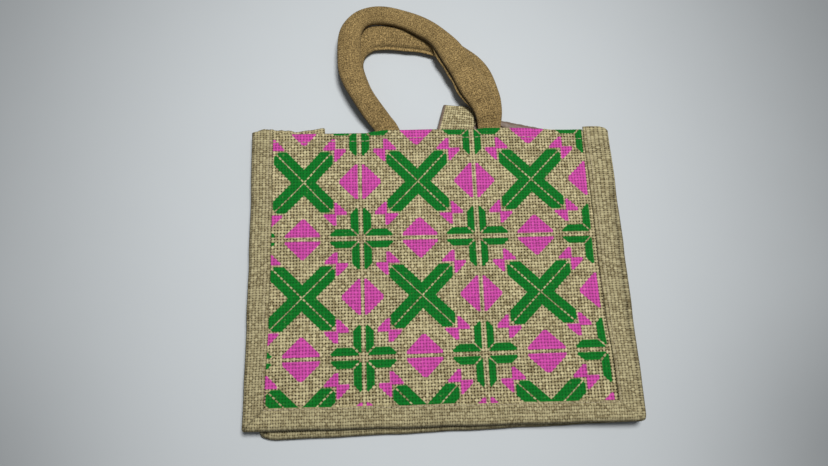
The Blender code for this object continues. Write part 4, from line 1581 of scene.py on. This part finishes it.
class BagStageSettings(bpy.types.PropertyGroup):
    """Light and surface of the studio."""

    key_power: FloatProperty(
        name="Key light",
        description="Power of the lamp above the bag",
        default=15.4,
        min=0,
        unit="POWER",
    )
    fill_strength: FloatProperty(
        name="Fill light",
        description="Strength of the even light from all round",
        default=0.14,
        min=0,
    )
    floor_colour: FloatVectorProperty(
        name="Floor",
        description="Colour of the surface that the bag lies on",
        default=(0.60, 0.635, 0.66, 1),
        size=4,
        min=0,
        max=1,
        subtype="COLOR",
    )


# ---------------------------------------------------------------- operators


def look(name, make):
    """The material of that name, made if it isn't there yet."""
    return bpy.data.materials.get(name) or make()


def inner_look(cloth):
    """The laminated side, the same on every piece."""
    pitch = (cloth.yarn_pitch, cloth.yarn_pitch)
    return look("laminated_inside", lambda: laminated_material("laminated_inside", pitch))


def plain_look(name, cloth, seed, cover=0.70, gain=1.0, scale=(1.0, 1.0)):
    """Plain burlap, with its colours times gain and its yarns' pitch times scale."""
    pitch = (cloth.yarn_pitch * scale[0], cloth.yarn_pitch * scale[1])
    straws = [
        tuple(part * gain for part in straw) for straw in (STRAW_DARK, STRAW_LIGHT, STRAW_GAP_SHADE)
    ]
    return look(name, lambda: burlap_material(name, pitch, cover, seed, *straws))


class BAG_OT_front_panel(bpy.types.Operator):
    """Weave the printed front panel with its hem"""

    bl_idname = "bag.front_panel"
    bl_label = "Front Panel"

    def execute(self, context):
        cloth = context.scene.bag_cloth
        printed = printed_material("printed_front", cloth, context.scene.bag_print)
        spans = (PANEL_LEFT, PANEL_RIGHT, PANEL_BOTTOM, FRONT_CLOTH_END)
        looks = [printed, inner_look(cloth)]
        piece = panel_sheet(
            "front_panel_cloth", front_place, spans, FRONT_HEM_SPAN, looks, cloth, 1
        )
        declare(piece, "front_panel")
        return {"FINISHED"}


class BAG_OT_back_panel(bpy.types.Operator):
    """Weave the plain back panel with its hem, partly pulled open"""

    bl_idname = "bag.back_panel"
    bl_label = "Back Panel"

    def execute(self, context):
        cloth = context.scene.bag_cloth
        looks = [plain_look("plain_back", cloth, 41.0), inner_look(cloth)]
        spans = (BACK_LEFT, BACK_RIGHT, BACK_BOTTOM, BACK_CLOTH_END)
        piece = panel_sheet(
            "back_panel_cloth", back_place, spans, BACK_HEM_SPAN, looks, cloth, -1, HEM_BARE_FROM
        )
        declare(piece, "back_panel")
        return {"FINISHED"}


class BAG_OT_gusset(bpy.types.Operator):
    """Lay the gusset folded inward between the panels"""

    bl_idname = "bag.gusset"
    bl_label = "Gusset"

    def execute(self, context):
        cloth = context.scene.bag_cloth
        looks = [plain_look("plain_gusset", cloth, 57.0), inner_look(cloth)]
        piece = gusset_sheet(looks, cloth)
        declare(piece, "gusset")
        return {"FINISHED"}


class BAG_OT_bindings(bpy.types.Operator):
    """Fold the bindings round the edges of the front and the back"""

    bl_idname = "bag.bindings"
    bl_label = "Bindings"

    def execute(self, context):
        cloth = context.scene.bag_cloth
        weave = (1.0, BINDING_WEFT)
        bound = plain_look("plain_binding", cloth, 73.0, 0.74, 0.80, weave)
        looks = [bound, inner_look(cloth)]
        front = binding_sheet(
            "front_binding_cloth",
            FRONT_OUTLINE,
            CORNER_ROUND["front"],
            FRONT_BINDING_OVER,
            FRONT_BINDING_UNDER,
            front_rise,
            looks,
            cloth,
        )
        declare(front, "front_binding")
        back = binding_sheet(
            "back_binding_cloth",
            BACK_OUTLINE,
            CORNER_ROUND["back"],
            BACK_BINDING_OVER,
            BACK_BINDING_UNDER,
            lambda x, y: 0 * x,
            looks,
            cloth,
        )
        declare(back, "back_binding")
        return {"FINISHED"}


class BAG_OT_handles(bpy.types.Operator):
    """Lay out the two padded handles, one on the other"""

    bl_idname = "bag.handles"
    bl_label = "Handles"

    def execute(self, context):
        cloth = context.scene.bag_cloth
        for name, table, seed, node, lip in (
            ("front_handle_tube", FRONT_HANDLE, 4, "front_handle", FRONT_HANDLE_LIP),
            ("back_handle_tube", BACK_HANDLE, 9, "back_handle", BACK_HANDLE_LIP),
        ):
            finish = handle_material(name + "_jute", float(seed))
            piece = handle_tube(name, table, finish, cloth, lip, seed)
            declare(piece, node)
        return {"FINISHED"}


class BAG_OT_closing_tab(bpy.types.Operator):
    """Fold the closing tab and lay it out of the mouth"""

    bl_idname = "bag.closing_tab"
    bl_label = "Closing Tab"

    def execute(self, context):
        cloth = context.scene.bag_cloth
        plain = plain_look("plain_tab", cloth, 91.0, 0.76, 0.98, (TAB_WEAVE, TAB_WEAVE))
        looks = [plain, inner_look(cloth)]
        piece = tab_sheet(looks, cloth)
        declare(piece, "closing_tab")
        return {"FINISHED"}


class BAG_OT_stitches(bpy.types.Operator):
    """Sew the front's hem and the front binding"""

    bl_idname = "bag.stitches"
    bl_label = "Stitches"

    def execute(self, context):
        cloth = context.scene.bag_cloth
        thread = look("sewing_thread", thread_material)
        tree = stitch_nodes()
        for name, route, slot in (
            ("front_hem_stitches", front_hem_line(cloth), "printed_burlap"),
            ("front_binding_stitches", front_binding_line(cloth), "front_binding_burlap"),
        ):
            piece = stitched(name, route, tree, thread)
            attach(piece, "root")
        return {"FINISHED"}


class BAG_OT_stage(bpy.types.Operator):
    """Set up the floor, the light and the camera"""

    bl_idname = "bag.stage"
    bl_label = "Stage"

    def execute(self, context):
        scene, settings = context.scene, context.scene.bag_stage
        half = FLOOR_HALF
        corners = [(-half, -half, 0), (half, -half, 0), (half, half, 0), (-half, half, 0)]
        mesh = bpy.data.meshes.new("floor")
        mesh.from_pydata(corners, [], [(0, 1, 2, 3)])
        floor = bpy.data.objects.new("floor", mesh)
        scene.collection.objects.link(floor)
        mesh.materials.append(floor_material(tuple(settings.floor_colour)))
        add_lamp(settings.key_power)
        add_sky(settings.fill_strength)
        scene.view_settings.view_transform = "Standard"
        add_camera()
        return {"FINISHED"}


OPERATORS = (
    BAG_OT_stage,
    BAG_OT_back_panel,
    BAG_OT_gusset,
    BAG_OT_front_panel,
    BAG_OT_bindings,
    BAG_OT_handles,
    BAG_OT_closing_tab,
    BAG_OT_stitches,
)


class BAG_PT_panel(bpy.types.Panel):
    """Settings and pieces of the jute bag"""

    bl_idname = "BAG_PT_panel"
    bl_label = "Jute Bag"
    bl_space_type = "VIEW_3D"
    bl_region_type = "UI"
    bl_category = "Jute Bag"

    def draw(self, context):
        layout, scene = self.layout, context.scene
        for settings in (scene.bag_cloth, scene.bag_print, scene.bag_stage):
            box = layout.box()
            for name in settings.bl_rna.properties.keys():
                if name not in ("rna_type", "name"):
                    box.prop(settings, name)
        for operator in OPERATORS:
            layout.operator(operator.bl_idname)


SETTINGS = (
    ("bag_cloth", BagClothSettings),
    ("bag_print", BagPrintSettings),
    ("bag_stage", BagStageSettings),
)


def register():
    for _, group in SETTINGS:
        bpy.utils.register_class(group)
    for name, group in SETTINGS:
        setattr(bpy.types.Scene, name, PointerProperty(type=group))
    for operator in OPERATORS:
        bpy.utils.register_class(operator)
    bpy.utils.register_class(BAG_PT_panel)


def unregister():
    bpy.utils.unregister_class(BAG_PT_panel)
    for operator in reversed(OPERATORS):
        bpy.utils.unregister_class(operator)
    for name, group in reversed(SETTINGS):
        delattr(bpy.types.Scene, name)
        bpy.utils.unregister_class(group)


def main():
    register()
    bpy.ops.bag.stage()
    bpy.ops.bag.back_panel()
    bpy.ops.bag.gusset()
    bpy.ops.bag.front_panel()
    bpy.ops.bag.bindings()
    bpy.ops.bag.handles()
    bpy.ops.bag.closing_tab()
    bpy.ops.bag.stitches()


if __name__ == "__main__":
    main()
